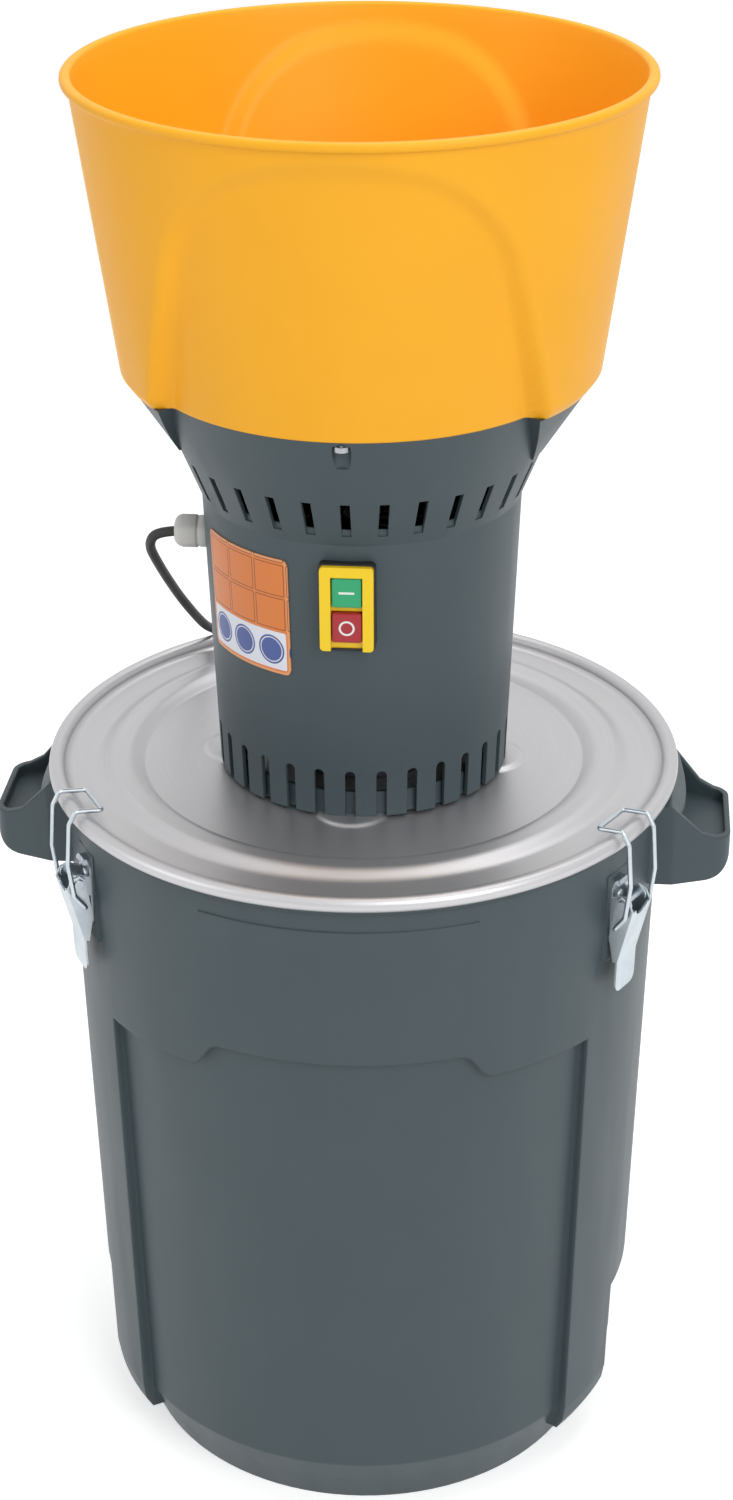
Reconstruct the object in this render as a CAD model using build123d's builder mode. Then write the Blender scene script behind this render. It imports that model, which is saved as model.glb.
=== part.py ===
"""Electric grain mill: a bucket with a latched lid, a motor housing on the lid, a hopper on top.

Millimetres, +Z up, the front is -Y. The origin is the centre of the bucket's flat base, which
stands on the floor. Azimuths are counted from the front (-Y) toward +X, in degrees.
"""

import os
from math import cos, degrees, radians, sin, sqrt, tan

from build123d import *

os.makedirs("parts", exist_ok=True)

# ---------------------------------------------------------------- driving dimensions
# clearances
seat_gap = 0.3  # between curved faces that do not move on each other
running_gap = 0.05  # radial, shaft in bearing
pin_gap = 0.09  # radial, hinge pin or wire in its ear
slide_gap = 0.4  # round a push button

# bucket
wall_foot_radius = 181.8  # wall line carried down to the floor
wall_draft = 0.0268
bucket_wall = 3.5
bucket_floor = 4.0
bucket_rim_z = 488.0
base_inset = 23.8
base_radius = wall_foot_radius - base_inset
step_inset = 14.2
base_step_radius = wall_foot_radius - step_inset  # coned base where the side pilasters start
base_edge_z = 42.0  # where the coned base meets the wall panels
panel_foot_inset = 6.3
panel_foot_radius = wall_foot_radius - panel_foot_inset
panel_head_rise = 4.2
panel_head_radius = wall_foot_radius + panel_head_rise
panel_top_z = bucket_rim_z - 115.0
panel_shoulder_z = panel_top_z - 19.0
panel_half_angle = 53.0
panel_crest_half = 79.0
panel_shoulder_half = 91.0
foot_step_z = 24.0  # underside of the side pilasters
grip_half_angle = 19.0
grip_top_z = 113.0
grip_depth = 7.0
rim_bead_rise = 15.7
rim_bead_radius = wall_foot_radius + rim_bead_rise
rim_bead_height = 4.5
rib_top_z = bucket_rim_z - 18.0
rib_bottom_z = bucket_rim_z - 50.0
rib_half_angle = 26.0
rib_height = 0.8

# carrying pockets on the bucket, at +X and -X
handle_shoulder = 5.5  # straight sides outward of the rim bead
handle_root_x = rim_bead_radius + handle_shoulder
handle_depth = 37.0
handle_reach = handle_root_x + handle_depth
handle_half_root = 46.0
handle_half_tip = 33.0
handle_top_z = bucket_rim_z - 4.5
handle_waist_z = bucket_rim_z - 27.0
handle_tip_z = bucket_rim_z - 31.5
handle_bottom_z = bucket_rim_z - 61.0
handle_belly_radius = 16.0
handle_corner_radius = 12.0
handle_wall = 3.6
handle_ledge = 13.5
tray_radius = rim_bead_radius + handle_ledge  # inner side of the tray on the handle
tray_floor_z = handle_tip_z - 7.5
grip_hollow_top_z = tray_floor_z - handle_wall

# lid
lid_sheet = 1.2
lid_rise = 4.0
lid_face_z = bucket_rim_z + lid_rise
lid_overhang = 7.5
lid_radius = rim_bead_radius + lid_overhang
lid_roll = 5.0
ring_foot_in = 143.0
ring_top_in = ring_foot_in + 7.0
ring_top_out = ring_top_in + 16.0
ring_foot_out = ring_top_out + 5.5
ring_height = 5.0
boss_circle = 81.0
boss_radius = 24.0
boss_height = 2.0
shaft_hole_radius = 16.0
seal_inner_radius = rim_bead_radius - 8.5
seal_outer_radius = rim_bead_radius - 2.7

# latches, in radius, offset and height
latch_azimuths = {"left": -60.0, "right": 60.0, "rear": 180.0}
pad_rise = 12.6
pad_radius = wall_foot_radius + pad_rise
pad_half = 13.0
latch_low_z = bucket_rim_z - 74.0
latch_high_z = bucket_rim_z - 28.0
latch_plate = 1.5
latch_half = 9.5
ear_thickness = 1.5
pivot_standoff = 9.5
pivot_radius = pad_radius + pivot_standoff
pivot_z = bucket_rim_z - 40.0
pin_radius = 2.0
pin_head = 3.2
ear_radius = 5.5
lever_gap = 0.5
bail_standoff = 6.5
bail_foot_radius = pad_radius + bail_standoff
bail_foot_z = bucket_rim_z - 56.5
wire_radius = 1.5
bail_half = 15.0
lever_tip_z = bucket_rim_z - 105.0
rivet_radius = 2.0
rivet_head = 4.0
rivet_low_z = latch_low_z + 7.0
rivet_high_z = latch_high_z - 12.0

# motor housing
housing_foot_radius = 92.9
housing_draft = 0.0379
housing_wall = 3.0
flare_foot_z = lid_face_z + 188.0
flare_slope = 0.405
hopper_z = lid_face_z + 265.0
flange_thickness = 3.0
flange_bore_radius = 118.0
shoulder_foot_z = lid_face_z + 224.0
shoulder_foot_radius = 116.0
shoulder_head_radius = 142.5
shoulder_half = 104.5  # half width of the sunk front and rear between the shoulders
vent_count = 30
upper_vent_width = 6.0
upper_vent_low_z = lid_face_z + 195.0
upper_vent_high_z = lid_face_z + 219.0
upper_vent_floor = 101.6
lower_vent_width = 6.5
lower_vent_high_z = lid_face_z + 34.0
scoop_radius = 5.5
scoop_wall = 3.0
scoop_low_z = lid_face_z + 246.0
scoop_inset = 2.5

# hopper
hopper_top_z = lid_face_z + 449.0
hopper_wall = 3.0
hopper_foot_radius = 143.0
hopper_low_radius = 147.3
hopper_low_z = lid_face_z + 271.0
hopper_high_radius = 170.3
lip_radius = 174.6
lip_height = 6.0
arch_foot_radius = flange_bore_radius + 13.5
arch_crown_radius = arch_foot_radius + 33.2
arch_crown_z = lid_face_z + 430.0
arch_growth = 1.73  # outward widening of the sunk arch per mm of depth
arch_lean = 0.405
arch_corner = 45.0
arch_length = 156.4
arch_waist = 11.0
arch_taper = 17.0
arch_cut_depth = 62.0
funnel_flange = 2.0
funnel_seat_radius = flange_bore_radius + 4.0
funnel_mouth_radius = flange_bore_radius - 4.0
funnel_wall = 1.7
feed_offset = 48.0  # feed chute axis, in X and in Y
chute_outer_radius = 17.0
chute_wall = 2.0
chute_low_z = lid_face_z - 3.0
chute_high_z = lid_face_z + 223.5
neck_low_z = lid_face_z + 214.0
cone_foot_z = lid_face_z + 225.0

# base ring of the motor head
ring_wall = 2.7
ring_outer_radius = 88.7
ring_wall_height = 15.0
lug_thickness = 3.0
lug_inner_radius = 70.0
lug_half = 9.0
ring_bolt_circle = 79.0
bolt_radius = 2.5
bolt_head_radius = 4.5
bolt_head_height = 3.2

# motor
motor_radius = 48.0
motor_shell = 3.0
motor_flange_radius = 50.0
motor_flange = 6.0
motor_boss_radius = 22.0
motor_boss_z = lid_face_z + 20.0
motor_window_half = 9.0
stator_low_z = lid_face_z + 40.0
stator_high_z = lid_face_z + 100.0
armature_radius = 26.0
air_gap = 0.8
winding_inner_radius = 28.4
winding_outer_radius = 43.0
winding_height = 12.0
bell_top_z = lid_face_z + 149.0
bell_disc = 5.0
bearing_radius = 14.0
bearing_width = 8.0
lower_bearing_z = lid_face_z + 8.0
upper_bearing_z = lid_face_z + 138.0
shaft_radius = 6.0
shaft_low_z = lid_face_z - 43.0
shaft_high_z = lid_face_z + 177.0
commutator_radius = 16.0
commutator_low_z = lid_face_z + 117.0
commutator_height = 15.0
brush_half = 5.0
brush_reach = 51.0
fan_radius = 46.0
fan_z = lid_face_z + 154.0
fan_height = 15.0
fan_hub_radius = 12.0
fan_blades = 9
motor_bolt_circle = 36.0

# grinding chamber under the lid
screen_radius = 104.0
screen_sheet = 2.0
screen_hole_radius = 2.5
screen_hole_count = 36
screen_rows = 3
screen_plate_z = lid_face_z - 48.0
screen_plate_thickness = 3.0
screen_plate_radius = 119.0
stud_circle = 112.0
stud_radius = 3.0
hammer_length = 190.0
hammer_width = 30.0
hammer_thickness = 4.0
hammer_z = lid_face_z - 30.0
hammer_corner = 6.0
spacer_radius = 10.0
washer_radius = 12.0
washer_thickness = 2.4
nut_radius = 10.0
nut_height = 8.5

# electrical parts
switch_z = lid_face_z + 150.0
switch_width = 32.5
switch_height = 54.7
switch_face = 108.0
switch_base = 103.5
switch_shroud = 6.7
button_width = 18.0
button_height = 19.0
button_pitch = 23.0
button_reach = 107.0
button_travel = 3.0
stem_radius = 2.0
body_front = 96.0
body_depth = 34.0
body_width = 27.0
body_height = 50.0
window_gap = 0.6
label_centre = -43.0
label_half_angle = 21.3
label_low_z = lid_face_z + 96.5
label_high_z = lid_face_z + 174.0
label_thickness = 0.8
gland_z = lid_face_z + 153.0
gland_radius = 11.3
gland_tip = 119.0
gland_chamfer = 3.0
gland_thread = 8.0
nut_width_radius = 10.5
nut_seat = 94.4
nut_length = 5.0
thread_end = 86.0
terminal_width = 24.0
terminal_z = lid_face_z + 114.0
terminal_height = 18.0
terminal_depth = 14.0
terminal_seat = 90.0
capacitor_radius = 12.0
capacitor_height = 40.0
capacitor_offset = 49.5

# mains cord, its coil and plug on the floor behind the bucket
cord_radius = 3.25
coil_turn_radius = 36.0
coil_centre = (-56.0, 302.0)
tail_reach = 112.0
plug_radius = 15.0
plug_length = 38.0


# ---------------------------------------------------------------- shared helpers
def radial_plane(azimuth=0.0):
    """Upright plane through the Z axis: local x points outward at the azimuth, local y is up."""
    a = radians(azimuth)
    return Plane(origin=(0, 0, 0), x_dir=(sin(a), -cos(a), 0), z_dir=(-cos(a), -sin(a), 0))


def on_circle(radius, azimuth):
    """Point at this radius and azimuth."""
    return (radius * sin(radians(azimuth)), -radius * cos(radians(azimuth)))


def turned(points, start=0.0, arc=360.0):
    """Solid made by turning a closed (radius, height) outline about Z from one azimuth on."""
    with BuildPart() as work:
        with BuildSketch(radial_plane(start)):
            with BuildLine():
                Polyline(*points, close=True)
            make_face()
        revolve(axis=Axis.Z, revolution_arc=arc)
    return work.part


def column(radius, low, high, at=(0.0, 0.0)):
    """Upright cylinder between two heights."""
    with BuildPart() as work:
        with BuildSketch(Plane.XY.offset(low)):
            with Locations(at):
                Circle(radius)
        extrude(amount=high - low)
    return work.part


def tube(inner, outer, low, high, at=(0.0, 0.0)):
    """Upright tube between two heights."""
    with BuildPart() as work:
        with BuildSketch(Plane.XY.offset(low)):
            with Locations(at):
                Circle(outer)
                Circle(inner, mode=Mode.SUBTRACT)
        extrude(amount=high - low)
    return work.part


def block(x_span, y_span, z_span):
    """Box between low and high values on each axis."""
    size = [span[1] - span[0] for span in (x_span, y_span, z_span)]
    box = Box(*size, align=(Align.MIN, Align.MIN, Align.MIN), mode=Mode.PRIVATE)
    return Pos(x_span[0], y_span[0], z_span[0]) * box


def plate(points, half_low, half_high):
    """Pair of plates at the front, each between two offsets, from a (radius, height) outline."""
    with BuildPart() as work:
        with BuildSketch(radial_plane().offset(half_low)):
            with BuildLine():
                Polyline(*points, close=True)
            make_face()
        extrude(amount=half_high - half_low)
        mirror(about=Plane.YZ)
    return work.part


def bar(radius, at, half):
    """Rod across the front at a (radius, height), reaching this far to both sides."""
    with BuildPart() as work:
        with BuildSketch(radial_plane()):
            with Locations(at):
                Circle(radius)
        extrude(amount=half, both=True)
    return work.part


def spoke(radius, height, near, far, offset=0.0):
    """Rod at the front that points outward, between two radii."""
    with BuildPart() as work:
        with BuildSketch(Plane(origin=(0, -near, 0), x_dir=(1, 0, 0), z_dir=(0, -1, 0))):
            with Locations((offset, height)):
                Circle(radius)
        extrude(amount=far - near)
    return work.part


def spin(piece, azimuth):
    """A piece made at the front, turned to another azimuth."""
    return piece.rotate(Axis.Z, azimuth)


def around(piece, count, first=0.0):
    """Copies of a piece made at the front, evenly spaced about Z."""
    return [spin(piece, first + 360.0 * i / count) for i in range(count)]


def hex_nut(across, bore, low, high, at=(0.0, 0.0)):
    """Hexagonal nut between two heights."""
    with BuildPart() as work:
        with BuildSketch(Plane.XY.offset(low)):
            with Locations(at):
                RegularPolygon(across, 6)
                Circle(bore, mode=Mode.SUBTRACT)
        extrude(amount=high - low)
    return work.part


def save(work, name):
    """Labels a finished sub-part and writes its file."""
    work.part.label = name
    export_step(work.part, f"parts/{name}.step")


# ---------------------------------------------------------------- bucket
def wall_radius(z):
    return wall_foot_radius + wall_draft * z


def base_cone_radius(z):
    slope = (base_step_radius - base_radius) / foot_step_z
    return base_radius + slope * z


def panel_radius(z):
    rise = (panel_head_radius - panel_foot_radius) / (panel_top_z - base_edge_z)
    return panel_foot_radius + rise * (z - base_edge_z)


def recess(azimuth, half_angle, top_z, top_radius, skin):
    """Sector outside the sunk wall; the skin moves every face of it inward or outward."""
    far = lid_radius + 40.0
    half = half_angle + degrees(skin / panel_foot_radius)
    foot = foot_step_z + skin
    outline = [
        (base_cone_radius(foot) - skin, foot),
        (panel_foot_radius - skin, base_edge_z),
        (top_radius - skin, top_z + skin),
        (far, top_z + skin),
        (far, foot),
    ]
    return turned(outline, azimuth - half, 2 * half)


def panel_recess(azimuth, skin=0.0):
    """Sunk front or rear panel, with its raised middle."""
    far = lid_radius + 60.0
    sector = recess(azimuth, panel_half_angle, panel_top_z, panel_head_radius, skin)
    crest = (panel_crest_half + skin, panel_top_z + skin)
    shoulder = (panel_shoulder_half + skin, panel_shoulder_z + skin)
    side = (far, panel_shoulder_z + skin - 8.0)
    with BuildPart() as view:
        with BuildSketch(Plane.XZ) as outline:
            with BuildLine():
                Polyline(
                    (-far, 0),
                    (far, 0),
                    side,
                    shoulder,
                    crest,
                    (-crest[0], crest[1]),
                    (-shoulder[0], shoulder[1]),
                    (-side[0], side[1]),
                    close=True,
                )
            make_face()
            bends = [v for v in outline.vertices() if abs(v.X) < far - 1]
            fillet(bends, radius=9.0)
        extrude(amount=far)
    return sector & spin(view.part, azimuth)


def handle_plan(inset):
    """Upright prism on the plan of the carrying handle at +X, its faces moved inward."""
    root = wall_radius(handle_bottom_z) - 17.0
    root_half, tip_half = handle_half_root - inset, handle_half_tip - inset
    tip = handle_reach - inset
    with BuildPart() as work:
        with BuildSketch(Plane.XY.offset(handle_bottom_z - 5.0)) as outline:
            with BuildLine():
                Polyline(
                    (root, root_half),
                    (handle_root_x, root_half),
                    (tip, tip_half),
                    (tip, -tip_half),
                    (handle_root_x, -root_half),
                    (root, -root_half),
                    close=True,
                )
            make_face()
            fillet(outline.vertices().group_by(Axis.X)[-1], radius=handle_corner_radius - inset)
        extrude(amount=handle_top_z - handle_bottom_z + 10.0)
    return work.part


def handle_profile(inset, top):
    """Slab under the handle's top line, or under a flat top, with the rounded belly."""
    root = wall_radius(handle_bottom_z) - 12.0
    tip, foot = handle_reach - inset, handle_bottom_z + inset
    tip_height = min(z for _, z in top) - foot
    with BuildPart() as work:
        with BuildSketch(Plane.XZ):
            with BuildLine():
                Polyline((root, foot), (tip, foot), *top, close=True)
            make_face()
        extrude(amount=handle_half_root + 5.0, both=True)
        belly = edges().filter_by(Axis.Y).group_by(Axis.X)[-1].sort_by(Axis.Z)[0]
        fillet(belly, radius=min(handle_belly_radius - inset, 0.85 * tip_height))
    return work.part


def handle_block():
    """Outside of the carrying handle at +X, before the bucket's inside is cut."""
    root = wall_radius(handle_bottom_z) - 12.0
    waist_x = handle_root_x + 0.5 * handle_depth
    line = [
        (handle_reach, handle_tip_z),
        (waist_x + 9.0, handle_tip_z + 0.8),
        (waist_x, handle_waist_z),
        (lid_radius - 2.0, handle_top_z - 2.0),
        (lid_radius - 4.0, handle_top_z),
        (root, handle_top_z),
    ]
    return handle_profile(0.0, line) & handle_plan(0.0)


def handle_hollows():
    """Tray in the top of the handle and the hollow under it that the fingers reach into."""
    root = wall_radius(handle_bottom_z) - 12.0
    plan = handle_plan(handle_wall)
    top_z, low_z = handle_top_z + 5.0, handle_bottom_z - 5.0
    far, side = handle_reach, handle_half_root
    tray = plan & block((root, far), (-side, side), (tray_floor_z, top_z))
    tray = tray - column(tray_radius, tray_floor_z - 1.0, top_z + 1.0)
    line = [(handle_reach - handle_wall, grip_hollow_top_z), (root, grip_hollow_top_z)]
    mouth = block((root, handle_root_x + 0.5 * handle_depth), (-side, side), (low_z, handle_bottom_z + 5.0))
    grip = (handle_profile(handle_wall, line) + mouth) & plan
    return [tray, grip - column(rim_bead_radius, low_z - 1.0, grip_hollow_top_z + 1.0)]


bead_z = bucket_rim_z - rim_bead_height
pilaster_steps = [(5.8, 1.0), (1.6, 9.0), (0.0, 21.0)]
bucket_outline = [(0, 0), (base_radius, 0), (base_cone_radius(foot_step_z), foot_step_z)]
for inset, rise in pilaster_steps:
    z = foot_step_z + rise
    bucket_outline.append((wall_radius(z) - inset, z))
bucket_outline += [
    (wall_radius(bead_z), bead_z),
    (rim_bead_radius, bead_z),
    (rim_bead_radius, bucket_rim_z),
    (0, bucket_rim_z),
]
inner_foot_z = foot_step_z + bucket_wall
cavity_outline = [
    (0, bucket_floor),
    (base_cone_radius(bucket_floor) - bucket_wall, bucket_floor),
    (base_cone_radius(inner_foot_z) - bucket_wall, inner_foot_z),
]
for inset, rise in pilaster_steps:
    z = inner_foot_z + rise
    cavity_outline.append((wall_radius(z) - inset - bucket_wall, z))
cavity_outline += [
    (wall_radius(bucket_rim_z) - bucket_wall, bucket_rim_z + 1.0),
    (0, bucket_rim_z + 1.0),
]
grip_radius = wall_radius(grip_top_z) - grip_depth
bucket_cavity = turned(cavity_outline)
for azimuth in (0.0, 180.0):
    bucket_cavity = bucket_cavity - panel_recess(azimuth, bucket_wall)
for azimuth in (90.0, -90.0):
    grip = recess(azimuth, grip_half_angle, grip_top_z, grip_radius, bucket_wall)
    bucket_cavity = bucket_cavity - grip

pad_low_z = latch_low_z - 10.0
pad_high_z = latch_high_z + 6.0
latch_pad = block((-pad_half, pad_half), (-pad_radius, -pad_radius + 10.0), (pad_low_z, pad_high_z))
rib_outline = [
    (wall_radius(rib_bottom_z) - 2.0, rib_bottom_z),
    (wall_radius(rib_bottom_z) - 1.0, rib_bottom_z),
    (wall_radius(rib_top_z) + rib_height, rib_top_z),
    (wall_radius(rib_top_z) - 2.0, rib_top_z),
]
rivet_bores = [
    spoke(rivet_radius + seat_gap, z, pad_radius - 15.0, pad_radius + 15.0)
    for z in (rivet_low_z, rivet_high_z)
]

with BuildPart() as bucket:
    add(turned(bucket_outline))
    for azimuth in (0.0, 180.0):
        add(panel_recess(azimuth), mode=Mode.SUBTRACT)
    for azimuth in (90.0, -90.0):
        grip = recess(azimuth, grip_half_angle, grip_top_z, grip_radius, 0.0)
        add(grip, mode=Mode.SUBTRACT)
    add(turned(rib_outline, -rib_half_angle, 2 * rib_half_angle))
    add([handle_block(), spin(handle_block(), 180)])
    add([spin(latch_pad, a) for a in latch_azimuths.values()])
    add(bucket_cavity, mode=Mode.SUBTRACT)
    for hollow in handle_hollows():
        add([hollow, spin(hollow, 180)], mode=Mode.SUBTRACT)
    for azimuth in latch_azimuths.values():
        add([spin(bore, azimuth) for bore in rivet_bores], mode=Mode.SUBTRACT)
save(bucket, "bucket")

# ---------------------------------------------------------------- lid and its seal
lid_under_z = lid_face_z - lid_sheet
roll_centre = (lid_radius - lid_roll, bucket_rim_z + lid_roll)
lid_line = [
    (shaft_hole_radius, lid_face_z),
    (ring_foot_in, lid_face_z),
    (ring_top_in, lid_face_z + ring_height),
    (ring_top_out, lid_face_z + ring_height),
    (ring_foot_out, lid_face_z),
    (roll_centre[0] - 3.0, lid_face_z),
]
lid_outline = lid_line + [(r, z - lid_sheet) for r, z in reversed(lid_line)]
boss_top_z = lid_face_z + boss_height
boss_under_z = boss_top_z - lid_sheet
chute_bore = chute_outer_radius + seat_gap
bolt_bore = bolt_radius + seat_gap
with BuildPart() as lid_boss:
    add(column(boss_radius, lid_under_z + 0.2, boss_top_z, (0.0, -boss_circle)))
    chamfer(edges().group_by(Axis.Z)[-1], length=0.8 * boss_height)
lid_bosses = around(lid_boss.part, 4)
lid_dimples = [
    column(boss_radius - 3.5, lid_under_z - 1.0, boss_under_z, on_circle(boss_circle, 90.0 * i))
    for i in range(4)
]
lid_bores = [column(chute_bore, lid_under_z - 5, boss_top_z + 5, (feed_offset, feed_offset))]
for i in range(4):
    for circle in (ring_bolt_circle, motor_bolt_circle):
        place = on_circle(circle, 90.0 * i)
        lid_bores.append(column(bolt_bore, lid_under_z - 5, boss_top_z + 5, place))

with BuildPart() as lid:
    add(turned(lid_outline))
    with BuildSketch(radial_plane()):
        with Locations(roll_centre):
            Circle(lid_roll)
    revolve(axis=Axis.Z)
    add(lid_bosses)
    add(lid_dimples, mode=Mode.SUBTRACT)
    add(lid_bores, mode=Mode.SUBTRACT)
save(lid, "lid")

with BuildPart() as lid_seal:
    add(tube(seal_inner_radius, seal_outer_radius, bucket_rim_z, lid_under_z))
save(lid_seal, "lid_seal")

# ---------------------------------------------------------------- latches
ear_low = latch_half - ear_thickness
lever_low = latch_half + lever_gap
lever_high = lever_low + ear_thickness
pivot = (pivot_radius, pivot_z)
bail_foot = (bail_foot_radius, bail_foot_z)
plate_face = pad_radius + latch_plate


def latch_base():
    """Riveted plate with two ears and a rolled top edge."""
    ear = [
        (pad_radius + 0.5, pivot_z - 12.0),
        (pivot_radius, pivot_z - ear_radius),
        (pivot_radius + ear_radius, pivot_z),
        (pivot_radius, pivot_z + ear_radius),
        (pad_radius + 0.5, pivot_z + 2.0),
    ]
    with BuildPart() as work:
        with BuildSketch(Plane.XZ.offset(pad_radius)) as face:
            with Locations((0, (latch_low_z + latch_high_z) / 2)):
                Rectangle(2 * latch_half, latch_high_z - latch_low_z)
            chamfer(face.vertices(), length=3.5)
        extrude(amount=latch_plate)
        add(plate(ear, ear_low, latch_half))
        add(bar(ear_radius, pivot, latch_half) - bar(ear_radius + 1, pivot, ear_low))
        add(bar(2.2, (plate_face + 1.2, latch_high_z - 1.0), ear_low - 3.0))
        add(bar(pin_radius + pin_gap, pivot, 30.0), mode=Mode.SUBTRACT)
        add(rivet_bores, mode=Mode.SUBTRACT)
    return work.part


def latch_lever():
    """Channel-shaped lever with a bent tongue."""
    p, h = pivot_radius, pivot_z
    ear = [
        (p - 4.5, h + 2.5),
        (p - 1.0, h + 5.5),
        (p + 4.5, h + 3.5),
        (p + 8.0, h - 3.0),
        (p - 1.5, h - 41.0),
        (p - 5.0, h - 43.0),
        (p - 8.5, h - 25.0),
        (p - 5.0, h - 2.0),
    ]
    web = [
        (p + 8.0, h - 3.0),
        (p - 1.5, h - 41.0),
        (p - 2.2, lever_tip_z),
        (p - 3.7, lever_tip_z),
        (p - 3.0, h - 41.0),
        (p + 6.5, h - 3.0),
    ]
    with BuildPart() as work:
        with BuildSketch(radial_plane()):
            with BuildLine():
                Polyline(*web, close=True)
            make_face()
        extrude(amount=lever_high, both=True)
        tongue = work.edges().group_by(Axis.Z)[0].filter_by(Axis.Y)
        fillet(tongue, radius=6.0)
        add(plate(ear, lever_low, lever_high))
        add(spoke(7.0, h - 1.0, p - 2.0, p + 20.0), mode=Mode.SUBTRACT)
        add(bar(pin_radius + pin_gap, pivot, 30.0), mode=Mode.SUBTRACT)
        add(bar(wire_radius + pin_gap, bail_foot, 30.0), mode=Mode.SUBTRACT)
    return work.part


def latch_pin():
    """Headed hinge pin through base and lever."""
    with BuildPart() as work:
        add(bar(pin_radius, pivot, lever_high + 1.2))
        heads = bar(pin_head, pivot, lever_high + 1.4) - bar(pin_head + 1, pivot, lever_high + 0.15)
        add(heads)
    return work.part


def latch_bail():
    """Bent wire: two feet in the lever's ears, two legs and a hook over the lid's rim."""
    r, z = bail_foot
    rim = roll_centre
    side = [
        (r, z),
        (r + 7.5, z + 10.5),
        (r + 10.5, z + 34.0),
        (rim[0] + 9.2, rim[1] + 1.0),
        (rim[0] + 4.6, rim[1] + 9.1),
        (rim[0] - 13.0, rim[1] + 6.4),
    ]
    foot_end = ear_low + 2.0
    right = [(bail_half, -a, b) for a, b in side]
    left = [(-x, y, b) for x, y, b in reversed(right)]
    route = [(foot_end, -r, z)] + right + left + [(-foot_end, -r, z)]
    with BuildPart() as work:
        with BuildLine() as path:
            FilletPolyline(*route, radius=2.4)
        with BuildSketch(Plane(origin=route[0], z_dir=(1, 0, 0))):
            Circle(wire_radius)
        sweep(path=path.wires()[0])
    return work.part


def latch_rivets():
    """Two headed rivets through pad, wall and base plate."""
    solids = []
    for z in (rivet_low_z, rivet_high_z):
        inner_face = wall_radius(z) - bucket_wall - 0.2
        shank = spoke(rivet_radius, z, inner_face - 1.2, plate_face + 1.2)
        outer = spoke(rivet_head, z, plate_face, plate_face + 1.4)
        inner = spoke(rivet_head, z, inner_face - 1.4, inner_face)
        solids.append(shank + outer + inner)
    return solids


latch_parts = {"base": latch_base(), "lever": latch_lever(), "bail": latch_bail(), "pin": latch_pin()}
for side_name, azimuth in latch_azimuths.items():
    for part_name, piece in latch_parts.items():
        with BuildPart() as latch_piece:
            add(spin(piece, azimuth))
        save(latch_piece, f"latch_{part_name}_{side_name}")

with BuildPart() as rivets:
    for azimuth in latch_azimuths.values():
        add([spin(rivet, azimuth) for rivet in latch_rivets()])
save(rivets, "latch_rivets")

# ---------------------------------------------------------------- motor housing
housing_z = boss_top_z


def shell_radius(z):
    """Outside of the motor housing's wall below and along the flare."""
    straight = housing_foot_radius + housing_draft * (z - housing_z)
    flared = straight_top + flare_slope * (z - flare_foot_z)
    return straight if z <= flare_foot_z else flared


straight_top = housing_foot_radius + housing_draft * (flare_foot_z - housing_z)
flare_top = straight_top + flare_slope * (hopper_z - flare_foot_z)


def shell_outline(skin):
    """Half outline of the plain housing, inward by the skin."""
    return [
        (0, housing_z - 1.0 if skin else housing_z),
        (housing_foot_radius - skin, housing_z - 1.0 if skin else housing_z),
        (straight_top - skin, flare_foot_z),
        (flare_top - skin, hopper_z),
        (0, hopper_z),
    ]


def shoulder_outline(skin):
    """Half outline of the two shoulders, inward by the skin."""
    slope = (shoulder_head_radius - shoulder_foot_radius) / (hopper_z - shoulder_foot_z)
    foot = shoulder_foot_z + skin
    return [
        (0, foot),
        (shoulder_foot_radius + slope * skin - skin * 1.2, foot),
        (shoulder_head_radius - skin * 1.2, hopper_z),
        (0, hopper_z),
    ]


def between_shoulders(skin):
    """Wedge along the front of the flare that keeps the shoulders to the two sides."""
    lean = radians(43.0)
    base = sqrt(flare_top**2 - shoulder_half**2)
    wedge = Plane(origin=(0, -base, hopper_z), x_dir=(1, 0, 0), z_dir=(0, -sin(lean), cos(lean)))
    near, far, growth = -95.0, 60.0, 1.2
    with BuildPart() as work:
        with BuildSketch(wedge):
            with BuildLine():
                Polyline(
                    (-shoulder_half + growth * near + skin, near),
                    (shoulder_half - growth * near - skin, near),
                    (shoulder_half - growth * far - skin, far),
                    (-shoulder_half + growth * far + skin, far),
                    close=True,
                )
            make_face()
        extrude(amount=80.0, both=True)
    return work.part


def shouldered(skin):
    """Solid inside the housing's surface, or inside its inner surface with the skin."""
    side = turned(shoulder_outline(skin))
    for azimuth in (0.0, 180.0):
        side = side - spin(between_shoulders(-skin * 1.5), azimuth)
    return turned(shell_outline(skin)) + side


housing_outer = shouldered(0.0)
housing_cavity = shouldered(housing_wall)
flange_under_z = hopper_z - flange_thickness
scoop_places = []
for i in range(4):
    on_shoulder = i % 2 == 1
    under = flange_under_z
    slope = (shoulder_head_radius - shoulder_foot_radius) / (hopper_z - shoulder_foot_z)
    face = shoulder_head_radius - slope * flange_thickness if on_shoulder else shell_radius(under)
    scoop_places.append(on_circle(face - scoop_inset, 90.0 * i))
scoop_walls = [column(scoop_radius + scoop_wall, scoop_low_z - 3.0, hopper_z, p) for p in scoop_places]
scoops = [column(scoop_radius, scoop_low_z, flange_under_z, p) for p in scoop_places]
hopper_bolt_bores = [column(bolt_radius + seat_gap, under, hopper_z + 9, p) for p in scoop_places]
flange_disc = column(flare_top + 20.0, flange_under_z, hopper_z)
upper_vent = block(
    (-upper_vent_width / 2, upper_vent_width / 2),
    (-shoulder_head_radius, -upper_vent_floor),
    (upper_vent_low_z, upper_vent_high_z),
)
lower_mid_z = lower_vent_high_z - lower_vent_width / 2
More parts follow.
